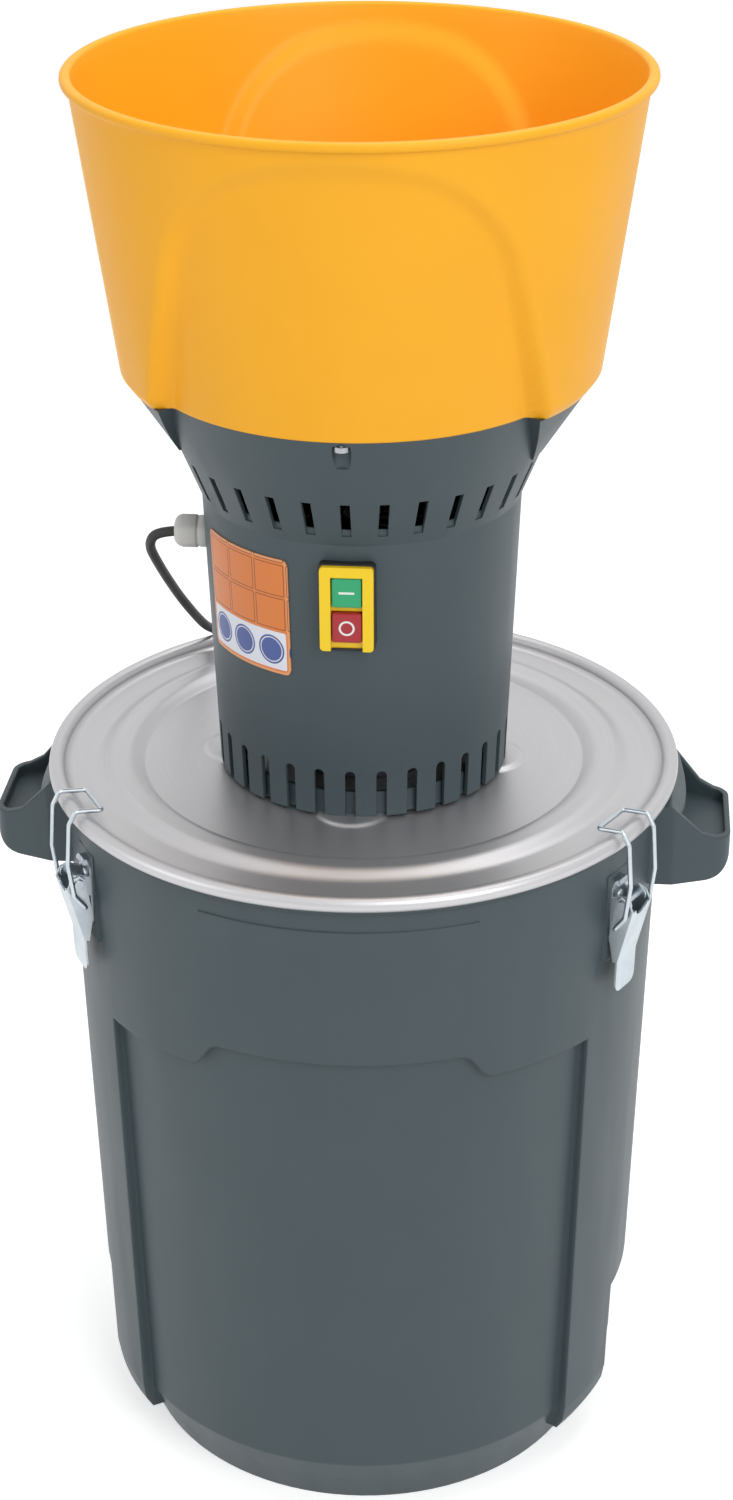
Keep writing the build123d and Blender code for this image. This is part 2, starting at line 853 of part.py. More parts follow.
with BuildPart() as lower_vent:
    with BuildSketch(Plane.XZ.offset(ring_outer_radius - 4.0)):
        with Locations((0, (housing_z - 2.0 + lower_mid_z) / 2)):
            Rectangle(lower_vent_width, lower_mid_z - housing_z + 2.0)
        with Locations((0, lower_mid_z)):
            Circle(lower_vent_width / 2)
    extrude(amount=20.0)
shell_near, shell_far = ring_outer_radius - 8.7, switch_face + 2.0
window_half = body_width / 2 + window_gap
window_z = (switch_z - body_height / 2 - window_gap, switch_z + body_height / 2 + window_gap)
switch_window = block((-window_half, window_half), (-shell_far, -shell_near), window_z)
gland_bore = spin(spoke(gland_thread + seat_gap, gland_z, shell_near, shell_far), -90)
terminal_span = (terminal_z, terminal_z + terminal_height)
terminal_boss = block((-9.0, 9.0), (-terminal_seat - 8.0, -terminal_seat), terminal_span)
terminal_boss = spin(terminal_boss, -90)

with BuildPart() as housing:
    add(housing_outer)
    add(housing_cavity - flange_disc, mode=Mode.SUBTRACT)
    add([(housing_outer & wall) - scoop for wall, scoop in zip(scoop_walls, scoops)])
    add(column(flange_bore_radius, flange_under_z - 1.0, hopper_z), mode=Mode.SUBTRACT)
    add(scoops, mode=Mode.SUBTRACT)
    add(hopper_bolt_bores, mode=Mode.SUBTRACT)
    add(housing_outer & terminal_boss)
    add(around(upper_vent, vent_count), mode=Mode.SUBTRACT)
    add(around(lower_vent.part, vent_count), mode=Mode.SUBTRACT)
    add(switch_window, mode=Mode.SUBTRACT)
    add(gland_bore, mode=Mode.SUBTRACT)
save(housing, "housing")

# ---------------------------------------------------------------- hopper
hopper_rise = (hopper_high_radius - hopper_low_radius) / (hopper_top_z - lip_height - hopper_low_z)
arch_rise = (arch_crown_radius - arch_foot_radius) / (arch_crown_z - hopper_z)
hopper_floor_z = hopper_z + flange_thickness


def arch_recess(skin):
    """Sunk arch at the front, leaning with the wall and widening outward."""
    foot_y = sqrt(arch_foot_radius**2 - shoulder_half**2)
    length = sqrt(1.0 + arch_lean**2)
    normal = (0, -1.0 / length, -arch_lean / length)
    leaning = Plane(origin=(0, -foot_y, hopper_z), x_dir=(1, 0, 0), z_dir=normal)
    sections = []
    for depth in (-2.0 * hopper_wall, arch_cut_depth):
        grow = arch_growth * depth + skin
        top = arch_length + grow
        shape = [
            (shoulder_half + 3.5 + grow, -30.0),
            (shoulder_half + grow, 0.0),
            (shoulder_half - arch_waist + grow, 0.64 * arch_length),
            (shoulder_half - arch_taper + grow, top),
        ]
        with BuildSketch(leaning.offset(depth)) as section:
            with BuildLine():
                Polyline(*shape, *[(-x, y) for x, y in reversed(shape)], close=True)
            make_face()
            corners = section.vertices().group_by(Axis.Y)[-1]
            fillet(corners, radius=arch_corner + grow)
        sections.append(section.sketch)
    with BuildPart() as work:
        loft(sections=sections, ruled=True)
    return work.part


def arch_core(skin):
    """Cone inside the sunk arch's face."""
    low, high = hopper_z - 30.0, hopper_top_z + 60.0
    foot = arch_foot_radius + arch_rise * (low - hopper_z) - skin
    head = arch_foot_radius + arch_rise * (high - hopper_z) - skin
    return turned([(0, low), (foot, low), (head, high), (0, high)])


hopper_outline = [
    (0, hopper_z),
    (hopper_foot_radius, hopper_z),
    (hopper_low_radius, hopper_low_z),
    (hopper_high_radius, hopper_top_z - lip_height),
    (lip_radius, hopper_top_z - lip_height),
    (lip_radius, hopper_top_z),
    (0, hopper_top_z),
]
inner_low = hopper_low_radius - hopper_wall
inner_high = inner_low + hopper_rise * (hopper_top_z + 1.0 - hopper_low_z)
hopper_cavity_outline = [
    (0, hopper_floor_z),
    (hopper_foot_radius - hopper_wall, hopper_floor_z),
    (inner_low, hopper_low_z),
    (inner_high, hopper_top_z + 1.0),
    (0, hopper_top_z + 1.0),
]
arch_cut = arch_recess(0.0) - arch_core(0.0)
arch_bulge = arch_recess(2.0 * hopper_wall) - arch_core(hopper_wall)
hopper_cavity = turned(hopper_cavity_outline)
for azimuth in (0.0, 180.0):
    hopper_cavity = hopper_cavity - spin(arch_bulge, azimuth)

with BuildPart() as hopper:
    add(turned(hopper_outline))
    for azimuth in (0.0, 180.0):
        add(spin(arch_cut, azimuth), mode=Mode.SUBTRACT)
    add(hopper_cavity, mode=Mode.SUBTRACT)
    add(column(flange_bore_radius, hopper_z - 1.0, hopper_floor_z + 1.0), mode=Mode.SUBTRACT)
    add(hopper_bolt_bores, mode=Mode.SUBTRACT)
save(hopper, "hopper")

hopper_bolts = []
for place in scoop_places:
    shank = column(bolt_radius, flange_under_z - 1.0, hopper_floor_z, place)
    head = column(bolt_head_radius, flange_under_z - bolt_head_height, flange_under_z, place)
    hopper_bolts.append(shank + head)
with BuildPart() as hopper_screws:
    add(hopper_bolts)
save(hopper_screws, "hopper_screws")

# ---------------------------------------------------------------- feed funnel and chute
feed_place = (feed_offset, feed_offset)
neck_radius = chute_outer_radius - chute_wall - seat_gap


def slanted_cone(mouth, mouth_z, throat, throat_z):
    """Cone from a centred mouth down to a throat over the feed chute."""
    with BuildPart() as work:
        with BuildSketch(Plane.XY.offset(mouth_z)):
            Circle(mouth)
        with BuildSketch(Plane.XY.offset(throat_z)):
            with Locations(feed_place):
                Circle(throat)
        loft()
    return work.part


funnel_top_z = hopper_floor_z + funnel_flange
inner_mouth = funnel_mouth_radius - funnel_wall
with BuildPart() as feed_funnel:
    add(column(funnel_seat_radius, hopper_floor_z, funnel_top_z))
    add(slanted_cone(funnel_mouth_radius, hopper_floor_z, neck_radius, cone_foot_z))
    add(column(neck_radius, neck_low_z, cone_foot_z, feed_place))
    inner = slanted_cone(inner_mouth, funnel_top_z, neck_radius - funnel_wall, cone_foot_z)
    add(inner, mode=Mode.SUBTRACT)
    bore = column(neck_radius - funnel_wall, neck_low_z, cone_foot_z, feed_place)
    add(bore, mode=Mode.SUBTRACT)
save(feed_funnel, "feed_funnel")

chute_bore_radius = chute_outer_radius - chute_wall
with BuildPart() as feed_chute:
    add(tube(chute_bore_radius, chute_outer_radius, chute_low_z, chute_high_z, feed_place))
save(feed_chute, "feed_chute")

# ---------------------------------------------------------------- base ring of the motor head
lug_top_z = housing_z + lug_thickness
ring_inner_radius = ring_outer_radius - ring_wall
lug = block((-lug_half, lug_half), (-ring_outer_radius + 0.8, -lug_inner_radius), (housing_z, lug_top_z))
lug_bore = column(bolt_radius + seat_gap, housing_z - 1, lug_top_z + 1, (0, -ring_bolt_circle))
with BuildPart() as base_ring:
    add(tube(ring_inner_radius, ring_outer_radius, housing_z, housing_z + ring_wall_height))
    add(around(lug, 4))
    add(around(lug_bore, 4), mode=Mode.SUBTRACT)
save(base_ring, "base_ring")

with BuildPart() as base_ring_bolts:
    for i in range(4):
        at = on_circle(ring_bolt_circle, 90.0 * i)
        nut_low_z = boss_under_z - bolt_head_height
        shank = column(bolt_radius, nut_low_z - 1.0, lug_top_z + 1.0, at)
        head = column(bolt_head_radius, lug_top_z, lug_top_z + bolt_head_height, at)
        nut = column(bolt_head_radius, nut_low_z, boss_under_z, at)
        add(shank + head + nut)
save(base_ring_bolts, "base_ring_bolts")

# ---------------------------------------------------------------- motor
shell_inner = motor_radius - motor_shell
flange_top_z = lid_face_z + motor_flange
bearing_bore = bearing_radius + seat_gap
race_opening = spacer_radius + 1.5
rotor_bore = shaft_radius + running_gap
motor_bolt_bores = [
    column(bolt_bore, lid_face_z - 1.0, flange_top_z - 1.0, on_circle(motor_bolt_circle, 90.0 * i))
    for i in range(4)
]
window_span = (flange_top_z + 4.0, stator_low_z - 8.0)
window_reach = (-motor_flange_radius - 10.0, -motor_boss_radius - 8.0)
motor_window = block((-motor_window_half, motor_window_half), window_reach, window_span)
with BuildPart() as motor_frame_lower:
    add(column(motor_flange_radius, lid_face_z, flange_top_z))
    add(column(motor_boss_radius, lid_face_z, motor_boss_z))
    add(tube(shell_inner, motor_radius, flange_top_z, stator_low_z))
    add(around(motor_window, 8, 22.5), mode=Mode.SUBTRACT)
    add(column(bearing_bore, lower_bearing_z, motor_boss_z + 1.0), mode=Mode.SUBTRACT)
    add(column(race_opening, lid_face_z - 1.0, lower_bearing_z + 1.0), mode=Mode.SUBTRACT)
    add(motor_bolt_bores, mode=Mode.SUBTRACT)
save(motor_frame_lower, "motor_frame_lower")

bell_under_z = bell_top_z - bell_disc
brush_z = commutator_low_z + commutator_height / 2
brush_hole = brush_half + seat_gap
brush_span = (brush_z - brush_hole, brush_z + brush_hole)
brush_window = block((window_reach[0], -window_reach[0]), (-brush_hole, brush_hole), brush_span)
upper_span = (stator_high_z + 16.0, bell_under_z - 8.0)
upper_windows = around(block((-7.0, 7.0), window_reach, upper_span), 4, 45.0)
with BuildPart() as motor_frame_upper:
    add(tube(shell_inner, motor_radius, stator_high_z, bell_under_z))
    add(column(motor_radius, bell_under_z, bell_top_z))
    add(column(bearing_bore + 4.0, commutator_low_z + commutator_height + 3.0, bell_under_z))
    upper_pocket = column(bearing_bore, bell_under_z - 20.0, upper_bearing_z + bearing_width)
    add(upper_pocket, mode=Mode.SUBTRACT)
    add(column(shaft_radius + 4.0, bell_under_z - 1.0, bell_top_z + 1.0), mode=Mode.SUBTRACT)
    add(brush_window, mode=Mode.SUBTRACT)
    add(upper_windows, mode=Mode.SUBTRACT)
save(motor_frame_upper, "motor_frame_upper")

with BuildPart() as brush_holders:
    near = commutator_radius + 0.4
    span = (brush_z - brush_half, brush_z + brush_half)
    add(block((near, brush_reach), (-brush_half, brush_half), span))
    add(block((-brush_reach, -near), (-brush_half, brush_half), span))
save(brush_holders, "brush_holders")

stator_bore = armature_radius + air_gap
with BuildPart() as stator_core:
    add(tube(stator_bore, motor_radius, stator_low_z, stator_high_z))
save(stator_core, "stator_core")

with BuildPart() as field_windings:
    low_span = (stator_low_z - winding_height, stator_low_z)
    high_span = (stator_high_z, stator_high_z + winding_height)
    for low, high in (low_span, high_span):
        winding = tube(winding_inner_radius, winding_outer_radius, low, high)
        rims = winding.edges().filter_by(GeomType.CIRCLE)
        add(winding.fillet(3.0, rims))
save(field_windings, "field_windings")

for bearing_name, low in (("bearing_lower", lower_bearing_z), ("bearing_upper", upper_bearing_z)):
    with BuildPart() as bearing:
        add(tube(rotor_bore, bearing_radius, low, low + bearing_width))
    save(bearing, bearing_name)

with BuildPart() as motor_shaft:
    add(column(shaft_radius, shaft_low_z, shaft_high_z))
    chamfer(edges().filter_by(GeomType.CIRCLE), length=0.8)
save(motor_shaft, "motor_shaft")

slot_span = (stator_low_z - 12.0, stator_high_z + 12.0)
armature_slot = block((-1.0, 1.0), (-armature_radius - 1, -armature_radius + 4), slot_span)
with BuildPart() as armature:
    add(tube(rotor_bore, armature_radius, stator_low_z - 2.0, stator_high_z + 2.0))
    add(around(armature_slot, 16), mode=Mode.SUBTRACT)
save(armature, "armature")

top_z = commutator_low_z + commutator_height
slot_span = (commutator_low_z - 1.0, top_z + 1.0)
commutator_slot = block((-0.4, 0.4), (-commutator_radius - 1, -commutator_radius + 1.2), slot_span)
with BuildPart() as commutator:
    add(tube(rotor_bore, commutator_radius, commutator_low_z, top_z))
    add(around(commutator_slot, 16), mode=Mode.SUBTRACT)
save(commutator, "commutator")

fan_blade = block((-1.0, 1.0), (-fan_radius + 0.5, -fan_hub_radius + 1.0), (fan_z + 1.0, fan_z + fan_height))
fan_blade = fan_blade.rotate(Axis((0, -(fan_radius + fan_hub_radius) / 2, 0), (0, 0, 1)), 20.0)
with BuildPart() as cooling_fan:
    add(column(fan_radius, fan_z, fan_z + 2.0))
    add(column(fan_hub_radius, fan_z, fan_z + fan_height))
    add(around(fan_blade, fan_blades))
    add(column(rotor_bore, fan_z - 1.0, fan_z + fan_height + 1.0), mode=Mode.SUBTRACT)
save(cooling_fan, "cooling_fan")

with BuildPart() as fan_nut:
    fan_top_z = fan_z + fan_height
    add(hex_nut(nut_radius, rotor_bore, fan_top_z, fan_top_z + 6.0))
save(fan_nut, "fan_nut")

with BuildPart() as motor_screws:
    for i in range(4):
        at = on_circle(motor_bolt_circle, 90.0 * i)
        shank = column(bolt_radius, lid_under_z - 1.0, flange_top_z - 1.5, at)
        head = column(bolt_head_radius, lid_under_z - bolt_head_height, lid_under_z, at)
        add(shank + head)
save(motor_screws, "motor_screws")

# ---------------------------------------------------------------- grinding chamber
upper_hammer_z = hammer_z + hammer_thickness
stack_top_z = upper_hammer_z + hammer_thickness
with BuildPart() as blade_spacer:
    add(tube(rotor_bore, spacer_radius, stack_top_z, lower_bearing_z - 1.0))
save(blade_spacer, "blade_spacer")

hammers = (("hammer_blade_lower", hammer_z, 0.0), ("hammer_blade_upper", upper_hammer_z, 90.0))
for blade_name, low, turn in hammers:
    with BuildPart() as hammer_blade:
        with BuildSketch(Plane.XY.offset(low)) as blade_face:
            Rectangle(hammer_length, hammer_width, rotation=turn)
            chamfer(blade_face.vertices(), length=hammer_corner)
            Circle(rotor_bore, mode=Mode.SUBTRACT)
        extrude(amount=hammer_thickness)
    save(hammer_blade, blade_name)

with BuildPart() as blade_washer:
    add(tube(rotor_bore, washer_radius, hammer_z - washer_thickness, hammer_z))
save(blade_washer, "blade_washer")

with BuildPart() as blade_nut:
    nut_top_z = hammer_z - washer_thickness
    add(hex_nut(nut_radius, rotor_bore, nut_top_z - nut_height, nut_top_z))
save(blade_nut, "blade_nut")

plate_top_z = screen_plate_z + screen_plate_thickness
screen_row_pitch = (lid_under_z - plate_top_z) / (screen_rows + 0.5)
screen_holes = []
for row in range(screen_rows):
    z = plate_top_z + (row + 0.75) * screen_row_pitch
    hole = spoke(screen_hole_radius, z, screen_radius - 8.0, screen_radius + 5.0)
    screen_holes += around(hole, screen_hole_count, row * 180.0 / screen_hole_count)
with BuildPart() as screen_ring:
    add(tube(screen_radius - screen_sheet, screen_radius, plate_top_z, lid_under_z))
    add(screen_holes, mode=Mode.SUBTRACT)
save(screen_ring, "screen_ring")

stud_places = [on_circle(stud_circle, 45.0 + 90.0 * i) for i in range(4)]
with BuildPart() as screen_plate:
    add(column(screen_plate_radius, screen_plate_z, plate_top_z))
    for place in stud_places:
        bore = column(stud_radius + seat_gap, screen_plate_z - 1, plate_top_z + 1, place)
        add(bore, mode=Mode.SUBTRACT)
save(screen_plate, "screen_plate")

with BuildPart() as screen_studs:
    for place in stud_places:
        add(column(stud_radius, screen_plate_z - 9.0, lid_under_z, place))
save(screen_studs, "screen_studs")

with BuildPart() as screen_wing_nuts:
    for place in stud_places:
        nut = tube(stud_radius + seat_gap, 6.5, screen_plate_z - 7.0, screen_plate_z, place)
        x, y = place
        wing_y, wing_z = (y - 1.2, y + 1.2), (screen_plate_z - 10.0, screen_plate_z - 1.0)
        wing = block((x + 5.5, x + 14.0), wing_y, wing_z)
        far_wing = block((x - 14.0, x - 5.5), wing_y, wing_z)
        add(nut + wing + far_wing)
save(screen_wing_nuts, "screen_wing_nuts")

# ---------------------------------------------------------------- switch
def shell_solid(grow):
    """Straight part of the housing's surface as a solid, grown a little."""
    low, high = housing_z, flare_foot_z
    outline = [(0, low), (shell_radius(low) + grow, low), (shell_radius(high) + grow, high), (0, high)]
    return turned(outline)


frame_half = switch_width / 2
frame_span = (switch_z - switch_height / 2, switch_z + switch_height / 2)
button_heights = (switch_z - 1.0 - button_pitch / 2, switch_z - 1.0 + button_pitch / 2)
bay_half = button_width / 2 + slide_gap + 0.2
body_span = (switch_z - body_height / 2, switch_z + body_height / 2)
body_half = body_width / 2
collar = block((-body_half, body_half), (-switch_base, -body_front), body_span)
with BuildPart() as switch_frame:
    add(block((-frame_half, frame_half), (-switch_face, -80.0), frame_span))
    fillet(edges().filter_by(Axis.Y), radius=2.5)
    add(shell_solid(0.2), mode=Mode.SUBTRACT)
    bay_span = (frame_span[0] - 1.0, frame_span[1] - switch_shroud)
    add(block((-bay_half, bay_half), (-switch_face - 1, -switch_base), bay_span), mode=Mode.SUBTRACT)
    add(collar)
    for z in button_heights:
        half_w = button_width / 2 + slide_gap
        half_h = button_height / 2 + slide_gap
        hole = block((-half_w, half_w), (-switch_face - 1, -80.0), (z - half_h, z + half_h))
        add(hole, mode=Mode.SUBTRACT)
save(switch_frame, "switch_frame")

button_back = body_front + button_travel + 0.3
stem_tip = body_front - button_travel - 2.0
for button_name, z in zip(("stop_button", "start_button"), button_heights):
    half_w = button_width / 2
    half_h = button_height / 2
    with BuildPart() as button:
        add(block((-half_w, half_w), (-button_reach, -button_back), (z - half_h, z + half_h)))
        fillet(edges().filter_by(Axis.Y), radius=1.5)
        fillet(edges().group_by(Axis.Y)[0], radius=0.8)
        add(spoke(stem_radius, z, stem_tip, button_back + 1.0))
    save(button, button_name)

with BuildPart() as switch_body:
    add(block((-body_half, body_half), (-body_front, body_depth - body_front), body_span))
    for z in button_heights:
        stem_hole = spoke(stem_radius + slide_gap, z, stem_tip - button_travel - 1.0, body_front + 1.0)
        add(stem_hole, mode=Mode.SUBTRACT)
save(switch_body, "switch_body")

# ---------------------------------------------------------------- label place, gland and wiring parts
label_outline = [
    (shell_radius(label_low_z) + seat_gap, label_low_z),
    (shell_radius(label_low_z) + seat_gap + label_thickness, label_low_z),
    (shell_radius(label_high_z) + seat_gap + label_thickness, label_high_z),
    (shell_radius(label_high_z) + seat_gap, label_high_z),
]
with BuildPart() as label_plate:
    add(turned(label_outline, label_centre - label_half_angle, 2 * label_half_angle))
save(label_plate, "label_plate")

with BuildPart() as gland_work:
    add(spoke(gland_radius, gland_z, ring_outer_radius, gland_tip))
    chamfer(edges().group_by(Axis.Y)[0], length=gland_chamfer)
    add(shell_solid(0.2), mode=Mode.SUBTRACT)
    add(spoke(gland_thread, gland_z, thread_end, gland_tip - gland_chamfer))
with BuildPart() as cable_gland:
    add(spin(gland_work.part, -90))
save(cable_gland, "cable_gland")

locknut = spoke(nut_width_radius, gland_z, nut_seat - nut_length, nut_seat)
locknut = locknut - spoke(gland_thread + seat_gap, gland_z, shell_near, shell_far)
with BuildPart() as gland_locknut:
    add(spin(locknut, -90))
save(gland_locknut, "gland_locknut")

terminal_faces = (-terminal_seat, terminal_depth - terminal_seat)
terminal = block((-terminal_width / 2, terminal_width / 2), terminal_faces, terminal_span)
with BuildPart() as terminal_block:
    add(spin(terminal, -90))
save(terminal_block, "terminal_block")

with BuildPart() as capacitor:
    top_z = lid_face_z + capacitor_height
    add(column(capacitor_radius, lid_face_z, top_z, (-capacitor_offset, -capacitor_offset)))
    fillet(edges().group_by(Axis.Z)[-1], radius=1.5)
save(capacitor, "capacitor")


# ---------------------------------------------------------------- mains cord
def bend_radii(route):
    """Largest radius at each inner point of a cord's route: 0.45 of its shorter run."""
    points = [Vector(*p) for p in route]
    radii = []
    for before, here, after in zip(points, points[1:], points[2:]):
        first, second = here - before, after - here
        half_turn = radians(first.get_angle(second)) / 2
        radii.append(0.45 * min(first.length, second.length) / tan(half_turn))
    return radii


def cord(route, name):
    """Round cord along straight runs joined by tangent arcs."""
    radii = bend_radii(route)
    print(name, "radii", [round(r, 1) for r in radii])
    with BuildPart() as work:
        with BuildLine() as path:
            FilletPolyline(*route, radius=radii)
        way = path.wires()[0]
        with BuildSketch(Plane(origin=way @ 0, z_dir=way % 0)):
            Circle(cord_radius)
        sweep(path=way)
    print(name, "length", round(way.length, 1), "volume ratio",
          round(work.part.volume / (way.length * 3.141592654 * cord_radius**2), 5))
    save(work, name)


coil_x, coil_y = coil_centre
coil_half = 2.0 * cord_radius
coil_top_z = 4.0 * cord_radius
top_turn_z = 3.0 * cord_radius
cord_route = [
    (-gland_tip + 12.0, 0.0, gland_z),
    (-130.0, 0.5, gland_z - 0.5),
    (-139.0, 12.0, gland_z - 15.0),
    (-137.5, 36.0, gland_z - 38.0),
    (-135.5, 66.0, gland_z - 64.0),
    (-132.5, 95.0, gland_z - 89.5),
    (-128.5, 123.0, gland_z - 113.5),
    (-124.0, 150.0, lid_face_z + 17.0),
    (-121.0, 186.0, lid_face_z - 2.0),
    (-119.0, 196.0, lid_face_z - 40.0),
    (-121.0, 199.0, 385.0),
    (-117.0, 201.0, 315.0),
    (-119.0, 205.0, 245.0),
    (-115.0, 207.0, 178.0),
    (-112.0, 214.0, 112.0),
    (-106.0, 224.0, 55.0),
    (coil_x - coil_turn_radius - 2.0, coil_y - 44.0, 18.0),
    (coil_x - coil_turn_radius, coil_y, top_turn_z),
]
cord(cord_route, "mains_cord")

with BuildPart() as cord_coil:
    coil_in, coil_out = coil_turn_radius - coil_half, coil_turn_radius + coil_half
    add(tube(coil_in, coil_out, 0.0, coil_top_z, coil_centre))
    fillet(edges().filter_by(GeomType.CIRCLE), radius=cord_radius * 0.9)
save(cord_coil, "cord_coil")

tie_near, tie_far = coil_x + coil_in - 1.5, coil_x + coil_out + 1.5
with BuildPart() as cord_tie:
    add(block((tie_near, tie_far), (coil_y - 6.0, coil_y + 6.0), (0.0, coil_top_z + 1.5)))
    add(cord_coil.part, mode=Mode.SUBTRACT)
save(cord_tie, "cord_tie")

plug_x, plug_y = coil_x + tail_reach, coil_y + coil_turn_radius + 5.0
tail_route = [
    (coil_x, coil_y + coil_turn_radius, cord_radius),
    (coil_x + 34.0, coil_y + coil_turn_radius + 1.0, cord_radius),
    (coil_x + 72.0, plug_y - 1.0, 0.6 * plug_radius),
    (plug_x, plug_y, plug_radius),
]
cord(tail_route, "cord_tail")

plug_axis = Plane(origin=(plug_x, plug_y, plug_radius), x_dir=(0, 1, 0), z_dir=(1, 0, 0))
with BuildPart() as mains_plug:
    with BuildSketch(plug_axis):
        Circle(0.45 * plug_radius)
    with BuildSketch(plug_axis.offset(0.55 * plug_length)):
        Circle(plug_radius)
    loft()
    with BuildSketch(plug_axis.offset(0.55 * plug_length)):
        Circle(plug_radius)
    extrude(amount=0.45 * plug_length)
    with BuildSketch(plug_axis.offset(plug_length)):
        with Locations((-9.5, 0), (9.5, 0)):
            Circle(2.4)
    extrude(amount=19.0)
save(mains_plug, "mains_plug")
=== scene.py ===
"""Electric grain mill: bucket, latched lid, motor head and hopper, dressed for the studio."""

from math import cos, pi, radians, sin

import bmesh
import bpy
from mathutils import Matrix, Vector


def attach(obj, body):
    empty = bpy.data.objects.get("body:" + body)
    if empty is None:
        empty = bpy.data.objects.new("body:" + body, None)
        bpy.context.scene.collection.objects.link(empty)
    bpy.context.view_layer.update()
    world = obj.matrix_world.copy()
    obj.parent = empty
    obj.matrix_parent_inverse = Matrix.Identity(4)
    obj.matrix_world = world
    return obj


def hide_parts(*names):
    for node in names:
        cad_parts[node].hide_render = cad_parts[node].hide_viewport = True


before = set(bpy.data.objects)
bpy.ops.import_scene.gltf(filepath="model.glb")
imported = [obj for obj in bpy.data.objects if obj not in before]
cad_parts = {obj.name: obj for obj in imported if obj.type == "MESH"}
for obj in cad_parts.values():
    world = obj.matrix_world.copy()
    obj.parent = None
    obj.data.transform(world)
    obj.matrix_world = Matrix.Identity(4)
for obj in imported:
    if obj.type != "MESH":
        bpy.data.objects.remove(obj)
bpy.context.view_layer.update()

# ------------------------------------------------------------------ camera
# A studio camera on a stand in front of the mill, a little above the hopper and turned down.
camera_data = bpy.data.cameras.new("camera")
camera_data.lens = 67.25
camera_data.sensor_width = 36.0
camera = bpy.data.objects.new("camera", camera_data)
camera.matrix_world = (
    Matrix.Translation((0.1480, -1.6260, 1.3309))
    @ Matrix.Rotation(radians(5.134), 4, "Z")
    @ Matrix.Rotation(radians(62.836), 4, "X")
    @ Matrix.Rotation(radians(-0.3133), 4, "Z")
)
bpy.context.scene.collection.objects.link(camera)
bpy.context.scene.camera = camera
bpy.context.scene.view_settings.view_transform = "Standard"


# ------------------------------------------------------------------ mains lead
# A round black rubber lead, 6.5 mm thick. It bends down out of the gland, runs over the lid's rim
# and down behind the bucket, where the rest lies as a tied coil with a moulded plug.
def srgb(red, green, blue):
    """Linear colour of an 8-bit paint colour."""
    linear = []
    for value in (red, green, blue):
        v = value / 255.0
        linear.append(v / 12.92 if v <= 0.04045 else ((v + 0.055) / 1.055) ** 2.4)
    return (*linear, 1.0)


def node(tree, kind, operation=None, **settings):
    """A shader or geometry node with its values set by socket name, or by place as _0, _1, _2."""
    made = tree.nodes.new(kind)
    if operation:
        made.operation = operation
    for name, value in settings.items():
        key = int(name[1:]) if name[0] == "_" else name.replace("_", " ")
        if isinstance(value, bpy.types.NodeSocket):
            tree.links.new(value, made.inputs[key])
        else:
            made.inputs[key].default_value = value
    return made


def sum_of(tree, operation, first, second=0.0, third=0.0, clamp=False):
    """A sum on numbers or sockets, held between 0 and 1 where it is clamped."""
    made = node(tree, "ShaderNodeMath", operation, _0=first, _1=second, _2=third)
    made.use_clamp = clamp
    return made.outputs[0]


def object_place(tree):
    """Place on the piece, in its own coordinates."""
    return tree.nodes.new("ShaderNodeTexCoord").outputs["Object"]


def noise(tree, place, scale, detail, **settings):
    """Level of a cloudy pattern."""
    made = node(tree, "ShaderNodeTexNoise", Vector=place, Scale=scale, Detail=detail, **settings)
    return made.outputs["Fac"]


def rounded(tree, radius):
    """Normal of the surface with its edges rounded over."""
    made = node(tree, "ShaderNodeBevel", Radius=radius)
    made.samples = 4
    return made.outputs[0]


def bumped(tree, height, strength, distance, **settings):
    """Normal of the surface with a fine relief."""
    made = node(tree, "ShaderNodeBump", Height=height, Strength=strength, Distance=distance, **settings)
    return made.outputs[0]


def toned(tree, colour, level):
    """A colour made lighter or darker."""
    return node(tree, "ShaderNodeVectorMath", "SCALE", _0=colour, Scale=level).outputs[0]


def painted(tree, mask, under, over):
    """One colour over another where the mask is 1."""
    mix = tree.nodes.new("ShaderNodeMix")
    mix.data_type = "RGBA"
    for key, value in (("Factor", mask), (6, under), (7, over)):
        if isinstance(value, bpy.types.NodeSocket):
            tree.links.new(value, mix.inputs[key])
        else:
            mix.inputs[key].default_value = value
    return mix.outputs[2]


def effect(name, inputs):
    """An empty shader node group with named inputs, which puts out colour, roughness and normal."""
    tree = bpy.data.node_groups.new(name, "ShaderNodeTree")
    for label, kind, value in inputs:
        socket = tree.interface.new_socket(label, in_out="INPUT", socket_type="NodeSocket" + kind)
        socket.default_value = value
    for label, kind in (("Colour", "Color"), ("Roughness", "Float"), ("Normal", "Vector")):
        tree.interface.new_socket(label, in_out="OUTPUT", socket_type="NodeSocket" + kind)
    return tree, tree.nodes.new("NodeGroupInput").outputs, tree.nodes.new("NodeGroupOutput").inputs


def end_effect(tree, out, colour, roughness, normal):
    """Joins what an effect group has made to its outputs."""
    for label, value in (("Colour", colour), ("Roughness", roughness), ("Normal", normal)):
        tree.links.new(value, out[label])


